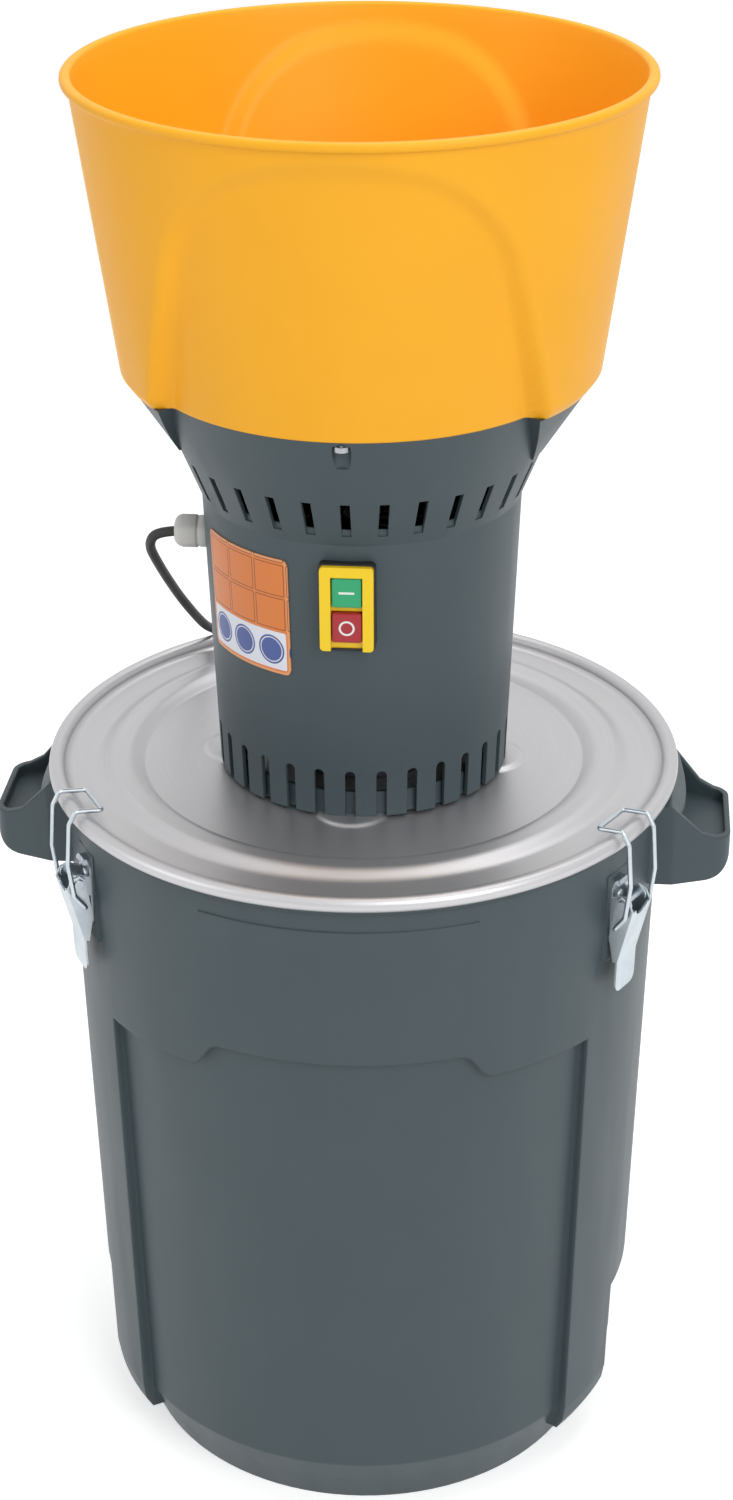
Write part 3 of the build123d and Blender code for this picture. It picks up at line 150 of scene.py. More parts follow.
def moulded_skin():
    """Matt grain, faint mottle and rubbed edges of a moulded plastic or rubber surface."""
    tree, into, out = effect("moulded_skin", [
        ("Colour", "Color", (0.5, 0.5, 0.5, 1)),
        ("Rubbed", "Color", (0.7, 0.7, 0.7, 1)),
        ("Roughness", "Float", 0.5),
        ("Grain Size", "Float", 900.0),
        ("Grain Depth", "Float", 0.2),
        ("Mottle", "Float", 0.05),
        ("Edge", "Float", 0.0008),
        ("Wear", "Float", 0.4),
    ])
    place = object_place(tree)
    cloud = noise(tree, place, 11.0, 3.0, Roughness=0.55)
    drawn_down = node(tree, "ShaderNodeMapping", Vector=place, Scale=(1.0, 1.0, 0.18)).outputs[0]
    streak = noise(tree, drawn_down, 55.0, 4.0)
    grain = noise(tree, place, into["Grain Size"], 2.0)
    soft = rounded(tree, into["Edge"])
    sharp = tree.nodes.new("ShaderNodeNewGeometry").outputs["Normal"]
    turn = node(tree, "ShaderNodeVectorMath", "DOT_PRODUCT", _0=soft, _1=sharp).outputs["Value"]
    edge = node(tree, "ShaderNodeMapRange", Value=turn, From_Min=0.995, From_Max=0.80).outputs[0]
    broken = sum_of(tree, "MULTIPLY", edge, streak)
    worn = sum_of(tree, "MULTIPLY", broken, into["Wear"], clamp=True)
    darker = sum_of(tree, "SUBTRACT", 1.0, into["Mottle"])
    lighter = sum_of(tree, "ADD", 1.0, into["Mottle"])
    shade = node(
        tree, "ShaderNodeMapRange", Value=cloud, From_Min=0.3, From_Max=0.7, To_Min=darker, To_Max=lighter,
    ).outputs[0]
    paint = painted(tree, worn, toned(tree, into["Colour"], shade), into["Rubbed"])
    uneven = sum_of(tree, "MULTIPLY_ADD", streak, 0.16, -0.08)
    polish = sum_of(tree, "MULTIPLY_ADD", worn, -0.15, uneven)
    rough = sum_of(tree, "ADD", into["Roughness"], polish, clamp=True)
    end_effect(tree, out, paint, rough, bumped(tree, grain, into["Grain Depth"], 0.0004, Normal=soft))
    return tree


skin_effect = moulded_skin()


def surface(name, metallic=0.0, specular=0.5):
    """A new material with its Principled shader."""
    material = bpy.data.materials.new(name)
    material.use_nodes = True
    shader = material.node_tree.nodes["Principled BSDF"]
    shader.inputs["Metallic"].default_value = metallic
    shader.inputs["Specular IOR Level"].default_value = specular
    return material, material.node_tree, shader


def place_effect(tree, effect_tree, shader, **settings):
    """An effect group in a material, joined to the shader's colour, roughness and normal."""
    group = tree.nodes.new("ShaderNodeGroup")
    group.node_tree = effect_tree
    for name, value in settings.items():
        group.inputs[name.replace("_", " ")].default_value = value
    for label, socket in (("Colour", "Base Color"), ("Roughness", "Roughness"), ("Normal", "Normal")):
        tree.links.new(group.outputs[label], shader.inputs[socket])


def moulded(name, colour, rubbed, roughness, size=900.0, depth=0.2, mottle=0.05, edge=0.0008, wear=0.4,
            specular=0.5):
    """A moulded plastic or rubber."""
    material, tree, shader = surface(name, 0.0, specular)
    place_effect(
        tree, skin_effect, shader, Colour=colour, Rubbed=rubbed, Roughness=roughness, Grain_Size=size,
        Grain_Depth=depth, Mottle=mottle, Edge=edge, Wear=wear,
    )
    return material


def finish_nodes(material, *names):
    """Gives pieces of the frame their material."""
    for name in names:
        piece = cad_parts[name]
        piece.data.materials.clear()
        piece.data.materials.append(material)


lead_rubber = moulded("lead_rubber", srgb(30, 30, 32), srgb(70, 70, 72), 0.52, 1400.0, 0.25, 0.1, 0.0004, 0.2)
lead_thickness = 0.0065
coil_middle = Vector((-0.056, 0.302, 0.0))
lead_route = [
    (-0.107, 0.0, 0.645),
    (-0.130, 0.0005, 0.6445),
    (-0.139, 0.012, 0.630),
    (-0.1375, 0.036, 0.607),
    (-0.1355, 0.066, 0.581),
    (-0.1325, 0.095, 0.5555),
    (-0.1285, 0.123, 0.5315),
    (-0.124, 0.150, 0.509),
    (-0.121, 0.186, 0.490),
    (-0.119, 0.196, 0.452),
    (-0.121, 0.199, 0.385),
    (-0.117, 0.201, 0.315),
    (-0.119, 0.205, 0.245),
    (-0.115, 0.207, 0.178),
    (-0.112, 0.214, 0.112),
    (-0.106, 0.224, 0.055),
    (-0.098, 0.258, 0.022),
]
# turns of the coil: degrees of winding, radius and height of the lead's middle
coil_stations = [
    (-360.0, 0.0362, 0.0158),
    (-60.0, 0.0362, 0.0164),
    (-38.0, 0.0386, 0.0142),
    (-18.0, 0.0398, 0.0115),
    (0.0, 0.0394, 0.0099),
    (230.0, 0.0394, 0.0099),
    (300.0, 0.0326, 0.0099),
    (540.0, 0.0326, 0.0099),
    (600.0, 0.0326, 0.0033),
    (830.0, 0.0326, 0.0033),
    (895.0, 0.0394, 0.0033),
    (1170.0, 0.0394, 0.0033),
]
coil_step = 22.5
for step in range(int((coil_stations[-1][0] - coil_stations[0][0]) / coil_step) + 1):
    turn = coil_stations[0][0] + coil_step * step
    for before, after in zip(coil_stations, coil_stations[1:]):
        if before[0] <= turn <= after[0]:
            share = (turn - before[0]) / (after[0] - before[0])
            reach = before[1] + share * (after[1] - before[1])
            height = before[2] + share * (after[2] - before[2])
    around_coil = pi - radians(turn)
    from_middle = Vector((reach * cos(around_coil), reach * sin(around_coil), height))
    lead_route.append(tuple(coil_middle + from_middle))
lead_route += [(-0.022, 0.339, 0.0033), (0.016, 0.342, 0.009), (0.056, 0.343, 0.015)]

lead_curve = bpy.data.curves.new("mains_lead", "CURVE")
lead_curve.dimensions = "3D"
lead_spline = lead_curve.splines.new("NURBS")
lead_spline.points.add(len(lead_route) - 1)
for point, spot in zip(lead_spline.points, lead_route):
    point.co = (*spot, 1.0)
lead_spline.order_u = 3
lead_spline.use_endpoint_u = True
lead_spline.resolution_u = 8
lead_curve.bevel_depth = lead_thickness / 2
lead_curve.bevel_resolution = 5
lead_curve.use_fill_caps = True
lead_curve.materials.append(lead_rubber)
mains_lead = bpy.data.objects.new("mains_lead", lead_curve)
bpy.context.scene.collection.objects.link(mains_lead)
finish_nodes(lead_rubber, "mains_plug")


def ring_mesh(name, rings, material, closed=True, smooth=True):
    """A piece from rings of points, each joined to the next. The last meets the first, or both are capped."""
    work = bmesh.new()
    corners = [[work.verts.new(spot) for spot in ring] for ring in rings]
    for first, second in zip(corners, corners[1:] + (corners[:1] if closed else [])):
        for i in range(len(first)):
            j = (i + 1) % len(first)
            work.faces.new((first[i], first[j], second[j], second[i]))
    if not closed:
        work.faces.new(corners[0])
        work.faces.new(corners[-1])
    bmesh.ops.remove_doubles(work, verts=work.verts, dist=1e-7)
    bmesh.ops.recalc_face_normals(work, faces=work.faces)
    mesh = bpy.data.meshes.new(name)
    work.to_mesh(mesh)
    work.free()
    mesh.materials.append(material)
    for face in mesh.polygons:
        face.use_smooth = smooth
    piece = bpy.data.objects.new(name, mesh)
    bpy.context.scene.collection.objects.link(piece)
    return piece


# The tie is a loop of rubber strip round the five strands, pinched narrow over them.
tie_rubber = moulded("tie_rubber", srgb(24, 24, 26), srgb(60, 60, 60), 0.6, 1600.0, 0.3)
tie_outline = [(29.6, 0.3), (43.0, 0.3), (44.0, 3.0), (44.0, 10.5), (41.5, 14.2), (38.8, 19.6), (33.5, 19.6),
               (30.6, 14.2), (28.4, 10.5), (28.4, 3.0)]
tie_middle_reach, tie_middle_height = 36.0, 8.0
tie_off_floor = 0.15
tie_rings = []
for side, pinch in ((-5.5, 0.7), (-5.0, 0.0), (5.0, 0.0), (5.5, 0.7)):
    ring = []
    for reach, height in tie_outline:
        inward = Vector((tie_middle_reach - reach, tie_middle_height - height)).normalized() * pinch
        spot = Vector((reach + inward.x, side, max(height + inward.y, tie_off_floor))) / 1000.0
        ring.append(coil_middle + spot)
    tie_rings.append(ring)
lead_tie = ring_mesh("lead_tie", tie_rings, tie_rubber, closed=False)
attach(lead_tie, "stand")
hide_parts("cord_tie")

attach(mains_lead, "stand")
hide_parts("mains_cord", "cord_coil", "cord_tail")

# ------------------------------------------------------------------ studio
# A pale floor that carries on into a white room, with one big soft lamp in front on the right, one
# on the left and one overhead.
def seen_directly(tree):
    """1 for what the camera sees, also in a gloss or through glass, and 0 for light on its way."""
    rays = tree.nodes.new("ShaderNodeLightPath").outputs
    seen = sum_of(tree, "MAXIMUM", rays["Is Camera Ray"], rays["Is Glossy Ray"])
    return sum_of(tree, "MAXIMUM", seen, rays["Is Transmission Ray"])


floor_half = 6
floor_mesh = bpy.data.meshes.new("floor")
floor_mesh.from_pydata(
    [(-floor_half, -floor_half, 0), (floor_half, -floor_half, 0), (floor_half, floor_half, 0),
     (-floor_half, floor_half, 0)], [], [(0, 1, 2, 3)],
)
floor_material, floor_tree, floor_shader = surface("floor", 0.0, 0.2)
floor_shader.inputs["Base Color"].default_value = (0.9, 0.9, 0.9, 1.0)
floor_shader.inputs["Roughness"].default_value = 0.8
floor_lift = sum_of(floor_tree, "MULTIPLY", seen_directly(floor_tree), 0.5)
floor_light = node(floor_tree, "ShaderNodeEmission", Color=(1, 1, 1, 1), Strength=floor_lift)
floor_both = node(floor_tree, "ShaderNodeAddShader", _0=floor_shader.outputs[0], _1=floor_light.outputs[0])
floor_tree.links.new(floor_both.outputs[0], floor_tree.nodes["Material Output"].inputs["Surface"])
floor_mesh.materials.append(floor_material)
floor = bpy.data.objects.new("floor", floor_mesh)
bpy.context.scene.collection.objects.link(floor)

room_level, room_lift = 0.5, 0.5
world = bpy.data.worlds.new("white_room")
bpy.context.scene.world = world
world.use_nodes = True
room = world.node_tree
room_strength = sum_of(room, "MULTIPLY_ADD", seen_directly(room), room_lift, room_level)
room.nodes["Background"].inputs["Color"].default_value = (1, 1, 1, 1)
room.links.new(room_strength, room.nodes["Background"].inputs["Strength"])


def soft_lamp(name, spot, size, power):
    """A square studio lamp that points at the middle of the mill."""
    lamp_data = bpy.data.lights.new(name, "AREA")
    lamp_data.size = size
    lamp_data.energy = power
    lamp = bpy.data.objects.new(name, lamp_data)
    lamp.location = spot
    lamp.rotation_euler = (Vector((0, 0, 0.5)) - Vector(spot)).to_track_quat("-Z", "Y").to_euler()
    bpy.context.scene.collection.objects.link(lamp)


soft_lamp("front_lamp", (1.4, -2.1, 2.2), 1.6, 34)
soft_lamp("left_lamp", (-2.2, -1.2, 1.5), 1.4, 9)
soft_lamp("top_lamp", (0.2, 0.4, 2.6), 1.6, 16)

# ------------------------------------------------------------------ bucket
# Injection-moulded from dark grey polypropylene with a fine matt grain. The carrying handles, each
# with a tray on top and a finger hollow below, the latch pads and the sunk front and rear panels
# are all part of the one moulding.
grey_polypropylene = moulded("grey_polypropylene", srgb(67, 80, 85), srgb(96, 106, 111), 0.46,
                             1100.0, 0.25, 0.03, 0.0032, 0.1, 0.38)
finish_nodes(grey_polypropylene, "bucket")

# ------------------------------------------------------------------ lid
# Spun and pressed from thin steel sheet, painted satin silver, with a rolled rim, one raised ring
# and four round bosses under the motor head. Fine circular marks are left by the tool.
def vector(tree, x=0.0, y=0.0, z=0.0):
    """A vector from three numbers or sockets."""
    return node(tree, "ShaderNodeCombineXYZ", X=x, Y=y, Z=z).outputs[0]


def length_of(tree, x, y):
    """Distance from the middle of a flat pattern."""
    return node(tree, "ShaderNodeVectorMath", "LENGTH", _0=vector(tree, x, y)).outputs["Value"]


def turned_sheet():
    """Fine circular marks of turning or spinning, and patches that shine a little less."""
    tree, into, out = effect("turned_sheet", [
        ("Colour", "Color", (0.6, 0.6, 0.6, 1)),
        ("Roughness", "Float", 0.4),
        ("Line Density", "Float", 700.0),
        ("Line Depth", "Float", 0.1),
        ("Edge", "Float", 0.0008),
    ])
    place = object_place(tree)
    x, y, z = node(tree, "ShaderNodeSeparateXYZ", Vector=place).outputs
    slow_turn = sum_of(tree, "MULTIPLY", sum_of(tree, "ARCTAN2", y, x), 0.004)
    lines = noise(tree, vector(tree, length_of(tree, x, y), slow_turn, z), into["Line Density"], 4.0)
    patches = noise(tree, place, 14.0, 4.0)
    colour = toned(tree, into["Colour"], sum_of(tree, "MULTIPLY_ADD", lines, 0.10, 0.95))
    rough = sum_of(tree, "MULTIPLY_ADD", patches, 0.14, into["Roughness"])
    relief = bumped(tree, lines, into["Line Depth"], 0.0002, Normal=rounded(tree, into["Edge"]))
    end_effect(tree, out, colour, rough, relief)
    return tree


turned_effect = turned_sheet()


def turned_metal(name, colour, roughness, density=700.0, depth=0.1, metallic=1.0):
    """A metal with the fine circular marks of turning or spinning."""
    material, tree, shader = surface(name, metallic)
    place_effect(tree, turned_effect, shader, Colour=colour, Roughness=roughness, Line_Density=density,
                 Line_Depth=depth)
    return material


def polar_spot(reach, azimuth, height):
    """Point in metres from a radius and height in millimetres, at an azimuth from the front."""
    return Vector((reach * sin(azimuth), -reach * cos(azimuth), height)) / 1000.0


def eased(share):
    """Smooth rise from 0 to 1."""
    share = min(max(share, 0.0), 1.0)
    return share * share * (3.0 - 2.0 * share)


lid_face = 492.0
lid_sheet = 1.2
lid_roll = Vector((200.0, 493.0))
lid_roll_radius = 5.0
lid_roll_start, lid_roll_end, lid_roll_steps = 191.5, -153.5, 26
lid_bore = 16.0
bead_foot_in, bead_crest_in, bead_crest_out, bead_foot_out = 143.0, 153.5, 161.0, 174.0
bead_rise = 5.0
lid_boss_circle, lid_boss_radius, lid_boss_edge, lid_boss_rise = 81.0, 24.6, 3.4, 2.0


def lid_sheet_rise(reach, azimuth):
    """Height of the pressed ring and of the four bosses above the flat of the lid."""
    if bead_foot_in < reach < bead_foot_out:
        if reach < bead_crest_in:
            return bead_rise * sin(pi / 2 * (reach - bead_foot_in) / (bead_crest_in - bead_foot_in))
        return bead_rise * (1.0 - eased((reach - bead_crest_out) / (bead_foot_out - bead_crest_out)))
    quarter = (azimuth + pi / 4) % (pi / 2) - pi / 4
    away = Vector((reach * sin(quarter), reach * cos(quarter) - lid_boss_circle)).length
    return lid_boss_rise * eased((lid_boss_radius - away) / lid_boss_edge)


# radii at which the sheet is drawn, close together over the bosses and the raised ring
lid_stations = [lid_bore, 30.0, 44.0] + [54.0 + 1.25 * i for i in range(44)] + [118.0, 130.0, 140.0, 142.7]
lid_stations += [bead_foot_in + 1.25 * i for i in range(26)] + [180.0, 188.0]
roll_line = []
for step in range(lid_roll_steps + 1):
    bend = radians(lid_roll_start + step * (lid_roll_end - lid_roll_start) / lid_roll_steps)
    roll_line.append(lid_roll + lid_roll_radius * Vector((cos(bend), sin(bend))))
lid_rings = []
for i in range(360):
    azimuth = radians(i)
    ring = []
    for reach in lid_stations:
        ring.append(polar_spot(reach, azimuth, lid_face + lid_sheet_rise(reach, azimuth)))
    ring += [polar_spot(spot.x, azimuth, spot.y) for spot in roll_line]
    for reach in reversed(lid_stations):
        ring.append(polar_spot(reach, azimuth, lid_face - lid_sheet + lid_sheet_rise(reach, azimuth)))
    lid_rings.append(ring)
lid_silver = turned_metal("lid_silver", srgb(196, 195, 197), 0.34, 500.0, 0.08, 0.85)
pressed_lid = ring_mesh("pressed_lid", lid_rings, lid_silver)
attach(pressed_lid, "stand")
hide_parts("lid")
seal_rubber = moulded("seal_rubber", srgb(40, 40, 42), srgb(70, 70, 72), 0.7, 1500.0, 0.3)
finish_nodes(seal_rubber, "lid_seal")

# ------------------------------------------------------------------ latches
# Three draw latches of pressed, zinc-plated steel: a riveted base, a lever on a hinge pin and a
# wire bail that hooks over the lid's rim.
def plated_skin():
    """Uneven shine and tint of a plated, cast or rolled metal, with a fine grain."""
    tree, into, out = effect("plated_metal", [
        ("Colour", "Color", (0.6, 0.6, 0.6, 1)),
        ("Tint", "Color", (0.5, 0.55, 0.6, 1)),
        ("Roughness", "Float", 0.35),
        ("Patch Size", "Float", 60.0),
        ("Depth", "Float", 0.15),
        ("Edge", "Float", 0.0004),
    ])
    place = object_place(tree)
    cloud = noise(tree, place, into["Patch Size"], 5.0)
    fine = noise(tree, place, 1800.0, 2.0)
    colour = painted(tree, cloud, into["Colour"], into["Tint"])
    rough = sum_of(tree, "MULTIPLY_ADD", cloud, 0.25, into["Roughness"])
    relief = bumped(tree, fine, into["Depth"], 0.0002, Normal=rounded(tree, into["Edge"]))
    end_effect(tree, out, colour, rough, relief)
    return tree


plated_effect = plated_skin()


def plated(name, colour, tint, roughness, patch=60.0, depth=0.15):
    """A plated, cast or rolled metal."""
    material, tree, shader = surface(name, 1.0)
    place_effect(tree, plated_effect, shader, Colour=colour, Tint=tint, Roughness=roughness,
                 Patch_Size=patch, Depth=depth)
    return material


zinc_plate = plated("zinc_plate", srgb(205, 212, 216), srgb(178, 190, 198), 0.22, 90.0)
for side in ("left", "right", "rear"):
    for part in ("base", "lever", "bail", "pin"):
        finish_nodes(zinc_plate, f"latch_{part}_{side}")


def growth(name, inputs):
    """An empty geometry node tree with named sizes and a finish."""
    tree = bpy.data.node_groups.new(name, "GeometryNodeTree")
    for label, kind, value in inputs:
        socket = tree.interface.new_socket(label, in_out="INPUT", socket_type="NodeSocket" + kind)
        socket.default_value = value
    tree.interface.new_socket("Finish", in_out="INPUT", socket_type="NodeSocketMaterial")
    tree.interface.new_socket("Geometry", in_out="OUTPUT", socket_type="NodeSocketGeometry")
    return tree, tree.nodes.new("NodeGroupInput").outputs, tree.nodes.new("NodeGroupOutput")


def joined(tree, *shapes):
    """Several geometries as one."""
    made = tree.nodes.new("GeometryNodeJoinGeometry")
    for shape in shapes:
        tree.links.new(shape, made.inputs[0])
    return made.outputs[0]


def moved(tree, shape, shift=None, turn=None, size=None):
    """A geometry shifted, turned and scaled."""
    made = node(tree, "GeometryNodeTransform", Geometry=shape)
    for label, value in (("Translation", shift), ("Rotation", turn), ("Scale", size)):
        if isinstance(value, bpy.types.NodeSocket):
            tree.links.new(value, made.inputs[label])
        elif value is not None:
            made.inputs[label].default_value = value
    return made.outputs[0]


def spread_round(tree, shape, count, first):
    """Copies of a geometry turned about the upright axis, evenly spaced from the first angle."""
    spots = node(tree, "GeometryNodePoints", Count=count).outputs[0]
    share = sum_of(tree, "DIVIDE", tree.nodes.new("GeometryNodeInputIndex").outputs[0], count)
    angle = sum_of(tree, "MULTIPLY_ADD", share, 2 * pi, first)
    bearing = node(tree, "FunctionNodeEulerToRotation", Euler=vector(tree, z=angle)).outputs[0]
    return node(
        tree, "GeometryNodeInstanceOnPoints", Points=spots, Instance=shape, Rotation=bearing,
    ).outputs[0]


def dome(tree, radius, height):
    """A round head with a flat seat, standing on the origin."""
    ball = node(tree, "GeometryNodeMeshUVSphere", Segments=24, Rings=12, Radius=1.0)
    spot = tree.nodes.new("GeometryNodeInputPosition").outputs[0]
    seat = node(tree, "ShaderNodeVectorMath", "MAXIMUM", _0=spot, _1=(-10.0, -10.0, 0.0))
    cut = node(tree, "GeometryNodeSetPosition", Geometry=ball.outputs[0], Position=seat.outputs[0])
    return moved(tree, cut.outputs[0], size=vector(tree, radius, radius, height))


def finish_growth(tree, sizes, out, shape):
    """Ends a tree: real geometry, smooth faces and the finish."""
    real = node(tree, "GeometryNodeRealizeInstances", Geometry=shape)
    smooth = node(tree, "GeometryNodeSetShadeSmooth", Geometry=real.outputs[0])
    finished = node(tree, "GeometryNodeSetMaterial", Geometry=smooth.outputs[0], Material=sizes["Finish"])
    tree.links.new(finished.outputs[0], out.inputs[0])


def grown(name, tree, finish, slot, replaced, **sizes):
    """The plain piece that a tree makes from its sizes, riding on the stand in place of a node."""
    piece = bpy.data.objects.new(name, bpy.data.meshes.new(name))
    bpy.context.scene.collection.objects.link(piece)
    growing = piece.modifiers.new(name, "NODES")
    growing.node_group = tree
    for item in tree.interface.items_tree:
        if item.in_out == "INPUT":
            label = item.name.replace(" ", "_")
            growing[item.identifier] = finish if label == "Finish" else sizes.get(label, item.default_value)
    layers = bpy.context.evaluated_depsgraph_get()
    mesh = bpy.data.meshes.new_from_object(piece.evaluated_get(layers))
    piece.modifiers.remove(growing)
    piece.data = mesh
    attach(piece, "stand")
    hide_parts(replaced)
    return piece


rivets, rivet_size, rivet_out = growth("rivets_through_the_wall", [
    ("Latches", "Int", 3), ("First Angle", "Float", radians(60.0)),
    ("Face", "Float", 0.1959), ("Low", "Float", 0.421), ("Pitch", "Float", 0.027),
    ("Head Radius", "Float", 0.0040), ("Head Height", "Float", 0.0015),
    ("Shank Radius", "Float", 0.0020), ("Grip", "Float", 0.0061),
])
outer_head = dome(rivets, rivet_size["Head Radius"], rivet_size["Head Height"])
inner_head = moved(rivets, outer_head, vector(rivets, z=sum_of(rivets, "MULTIPLY", rivet_size["Grip"], -1.0)),
                   (pi, 0.0, 0.0))
shank = node(rivets, "GeometryNodeMeshCylinder", Vertices=16, Radius=rivet_size["Shank Radius"],
             Depth=rivet_size["Grip"]).outputs[0]
shank = moved(rivets, shank, vector(rivets, z=sum_of(rivets, "MULTIPLY", rivet_size["Grip"], -0.5)))
rivet_pair = node(
    rivets, "GeometryNodeInstanceOnPoints",
    Points=node(
        rivets, "GeometryNodeMeshLine", Count=2, Offset=vector(rivets, z=rivet_size["Pitch"]),
        _2=vector(rivets, y=sum_of(rivets, "MULTIPLY", rivet_size["Face"], -1.0), z=rivet_size["Low"]),
    ).outputs[0],
    Instance=joined(rivets, outer_head, inner_head, shank),
    Rotation=node(rivets, "FunctionNodeEulerToRotation", Euler=(pi / 2, 0.0, 0.0)).outputs[0],
)
finish_growth(rivets, rivet_size, rivet_out,
              spread_round(rivets, rivet_pair.outputs[0], rivet_size["Latches"], rivet_size["First Angle"]))
grown("wall_rivets", rivets, zinc_plate, "zinc_steel", "latch_rivets")

# ------------------------------------------------------------------ grinding chamber
# Under the lid: a ring of perforated stainless sheet on a steel plate, held by studs and wing nuts,
# and two crossed hammer blades on the motor shaft.
stainless = turned_metal("stainless", srgb(186, 188, 190), 0.3, 900.0, 0.12)
finish_nodes(stainless, "screen_ring", "screen_plate")
bright_steel = plated("bright_steel", srgb(190, 192, 194), srgb(160, 162, 166), 0.24, 120.0)
finish_nodes(bright_steel, "screen_studs", "screen_wing_nuts", "blade_washer", "blade_nut", "fan_nut")
blade_steel = plated("blade_steel", srgb(120, 122, 126), srgb(90, 92, 98), 0.38, 45.0, 0.4)
finish_nodes(blade_steel, "hammer_blade_upper", "hammer_blade_lower")
shaft_steel = turned_metal("shaft_steel", srgb(176, 178, 182), 0.24, 1400.0, 0.2)
finish_nodes(shaft_steel, "motor_shaft", "blade_spacer", "bearing_lower", "bearing_upper")

# ------------------------------------------------------------------ motor
# A universal motor on the lid's bosses: die-cast frames, a stack of iron sheets with copper field
# coils, a slotted armature with its commutator and brushes, and a black fan on top.
cast_alloy = plated("cast_alloy", srgb(150, 152, 154), srgb(124, 126, 130), 0.5, 160.0, 0.5)
finish_nodes(cast_alloy, "motor_frame_lower", "motor_frame_upper")
iron_stack, iron_tree, iron_shader = surface("iron_stack", 1.0)
iron_place = object_place(iron_tree)
iron_bands = node(iron_tree, "ShaderNodeTexWave", Vector=iron_place, Scale=320.0, Distortion=0.4)
iron_bands.bands_direction = "Z"
iron_cloud = noise(iron_tree, iron_place, 70.0, 4.0)
for socket, value in (
    ("Base Color", painted(iron_tree, iron_cloud, srgb(92, 96, 104), srgb(70, 66, 66))),
    ("Roughness", sum_of(iron_tree, "MULTIPLY_ADD", iron_cloud, 0.3, 0.3)),
    ("Normal", bumped(iron_tree, iron_bands.outputs["Fac"], 0.6, 0.0003)),
):
    iron_tree.links.new(value, iron_shader.inputs[socket])
finish_nodes(iron_stack, "stator_core", "armature")
enamelled_copper = turned_metal("enamelled_copper", srgb(176, 92, 52), 0.32, 1300.0, 0.8)
finish_nodes(enamelled_copper, "field_windings")
bare_copper = turned_metal("bare_copper", srgb(190, 118, 78), 0.28, 1500.0, 0.2)
finish_nodes(bare_copper, "commutator")
black_nylon = moulded("black_nylon", srgb(26, 27, 29), srgb(66, 66, 68), 0.45, 1300.0, 0.3)
finish_nodes(black_nylon, "cooling_fan", "brush_holders", "switch_body")
finish_nodes(bright_steel, "motor_screws", "base_ring_bolts", "hopper_screws")
can_film = moulded("can_film", srgb(188, 190, 192), srgb(150, 150, 152), 0.3, 700.0, 0.1)
finish_nodes(can_film, "capacitor")
terminal_nylon = moulded("terminal_nylon", srgb(214, 210, 196), srgb(190, 186, 170), 0.5, 1200.0, 0.2)
finish_nodes(terminal_nylon, "terminal_block")

# ------------------------------------------------------------------ motor housing
# The same grey polypropylene: a base ring on the lid, the slotted housing over it, and the chute
# that takes the grain down past the motor.
housing_polypropylene = moulded("housing_polypropylene", srgb(67, 80, 85), srgb(96, 106, 111), 0.46,
                                1100.0, 0.25, 0.03, 0.0007, 0.2, 0.38)
finish_nodes(housing_polypropylene, "base_ring", "housing", "feed_chute")

# ------------------------------------------------------------------ hopper and funnel
# Orange-yellow polyethylene, smooth and a little waxy, on the housing's flange. An arch is sunk
# into the front and the back of the coned wall, which ends in a thick rounded lip.
hopper_polyethylene = moulded("hopper_polyethylene", srgb(255, 181, 34), srgb(255, 205, 104), 0.46,
                              700.0, 0.08, 0.02, 0.0012, 0.2, 0.3)
hopper_foot, hopper_floor, hopper_chamfer_top = 757.0, 760.0, 763.0
hopper_foot_radius, hopper_chamfer, hopper_slope = 143.0, 4.3, 0.13372
hopper_bore = 118.0
hopper_skin = 3.1
hopper_lip_radius = 170.3
arch_foot_reach, arch_lean = 131.5, 0.2012
arch_half, arch_length, arch_corner, arch_taper = 104.5, 156.4, 45.0, 0.109
arch_spread, arch_tilt, arch_softness, arch_least_corner = 1.73, 0.405, 8.0, 15.0
search_margin, search_halvings = 2.0, 14


def hopper_wall(height):
    """Radius of the plain coned wall, with the short chamfer at its foot."""
    if height < hopper_chamfer_top:
        share = (height - hopper_foot) / (hopper_chamfer_top - hopper_foot)
        return hopper_foot_radius + hopper_chamfer * share
    return hopper_foot_radius + hopper_chamfer + hopper_slope * (height - hopper_chamfer_top)


def soft_least(first, second, blend):
    """The smaller of two numbers, rounded over where they meet."""
    share = min(max(0.5 + 0.5 * (second - first) / blend, 0.0), 1.0)
    return second + (first - second) * share - blend * share * (1.0 - share)


def past_arch(reach, azimuth, height):
    """Distance outside the outline of the sunk arch, less than nothing inside it."""
    across = abs(reach * sin(azimuth))
    ahead = abs(reach * cos(azimuth)) - (arch_foot_reach**2 - arch_half**2) ** 0.5
    up = height - hopper_foot
    slant = (1.0 + arch_tilt**2) ** 0.5
    growth_out = arch_spread * (ahead - arch_tilt * up) / slant
    along = (up + arch_tilt * ahead) / slant
    side = across - (arch_half - arch_taper * along + growth_out)
    top = along - (arch_length + growth_out)
    corner = max(arch_corner + growth_out, arch_least_corner)
    beyond = Vector((max(side + corner, 0.0), max(top + corner, 0.0)))
    return beyond.length + min(max(side, top) + corner, 0.0) - corner


def hopper_reach(azimuth, height):
    """Outer radius of the wall with the arch sunk into its front and back, edges well rounded."""
    wall = hopper_wall(height)
    core = arch_foot_reach + arch_lean * (height - hopper_foot)
    near, far = core - search_margin, wall + search_margin
    for _ in range(search_halvings):
        reach = (near + far) / 2
        kept = soft_least(reach - core, -past_arch(reach, azimuth, height), arch_softness)
        outside = -soft_least(wall - reach, -kept, arch_softness)
        if outside > 0.0:
            far = reach
        else:
            near = reach
    return near


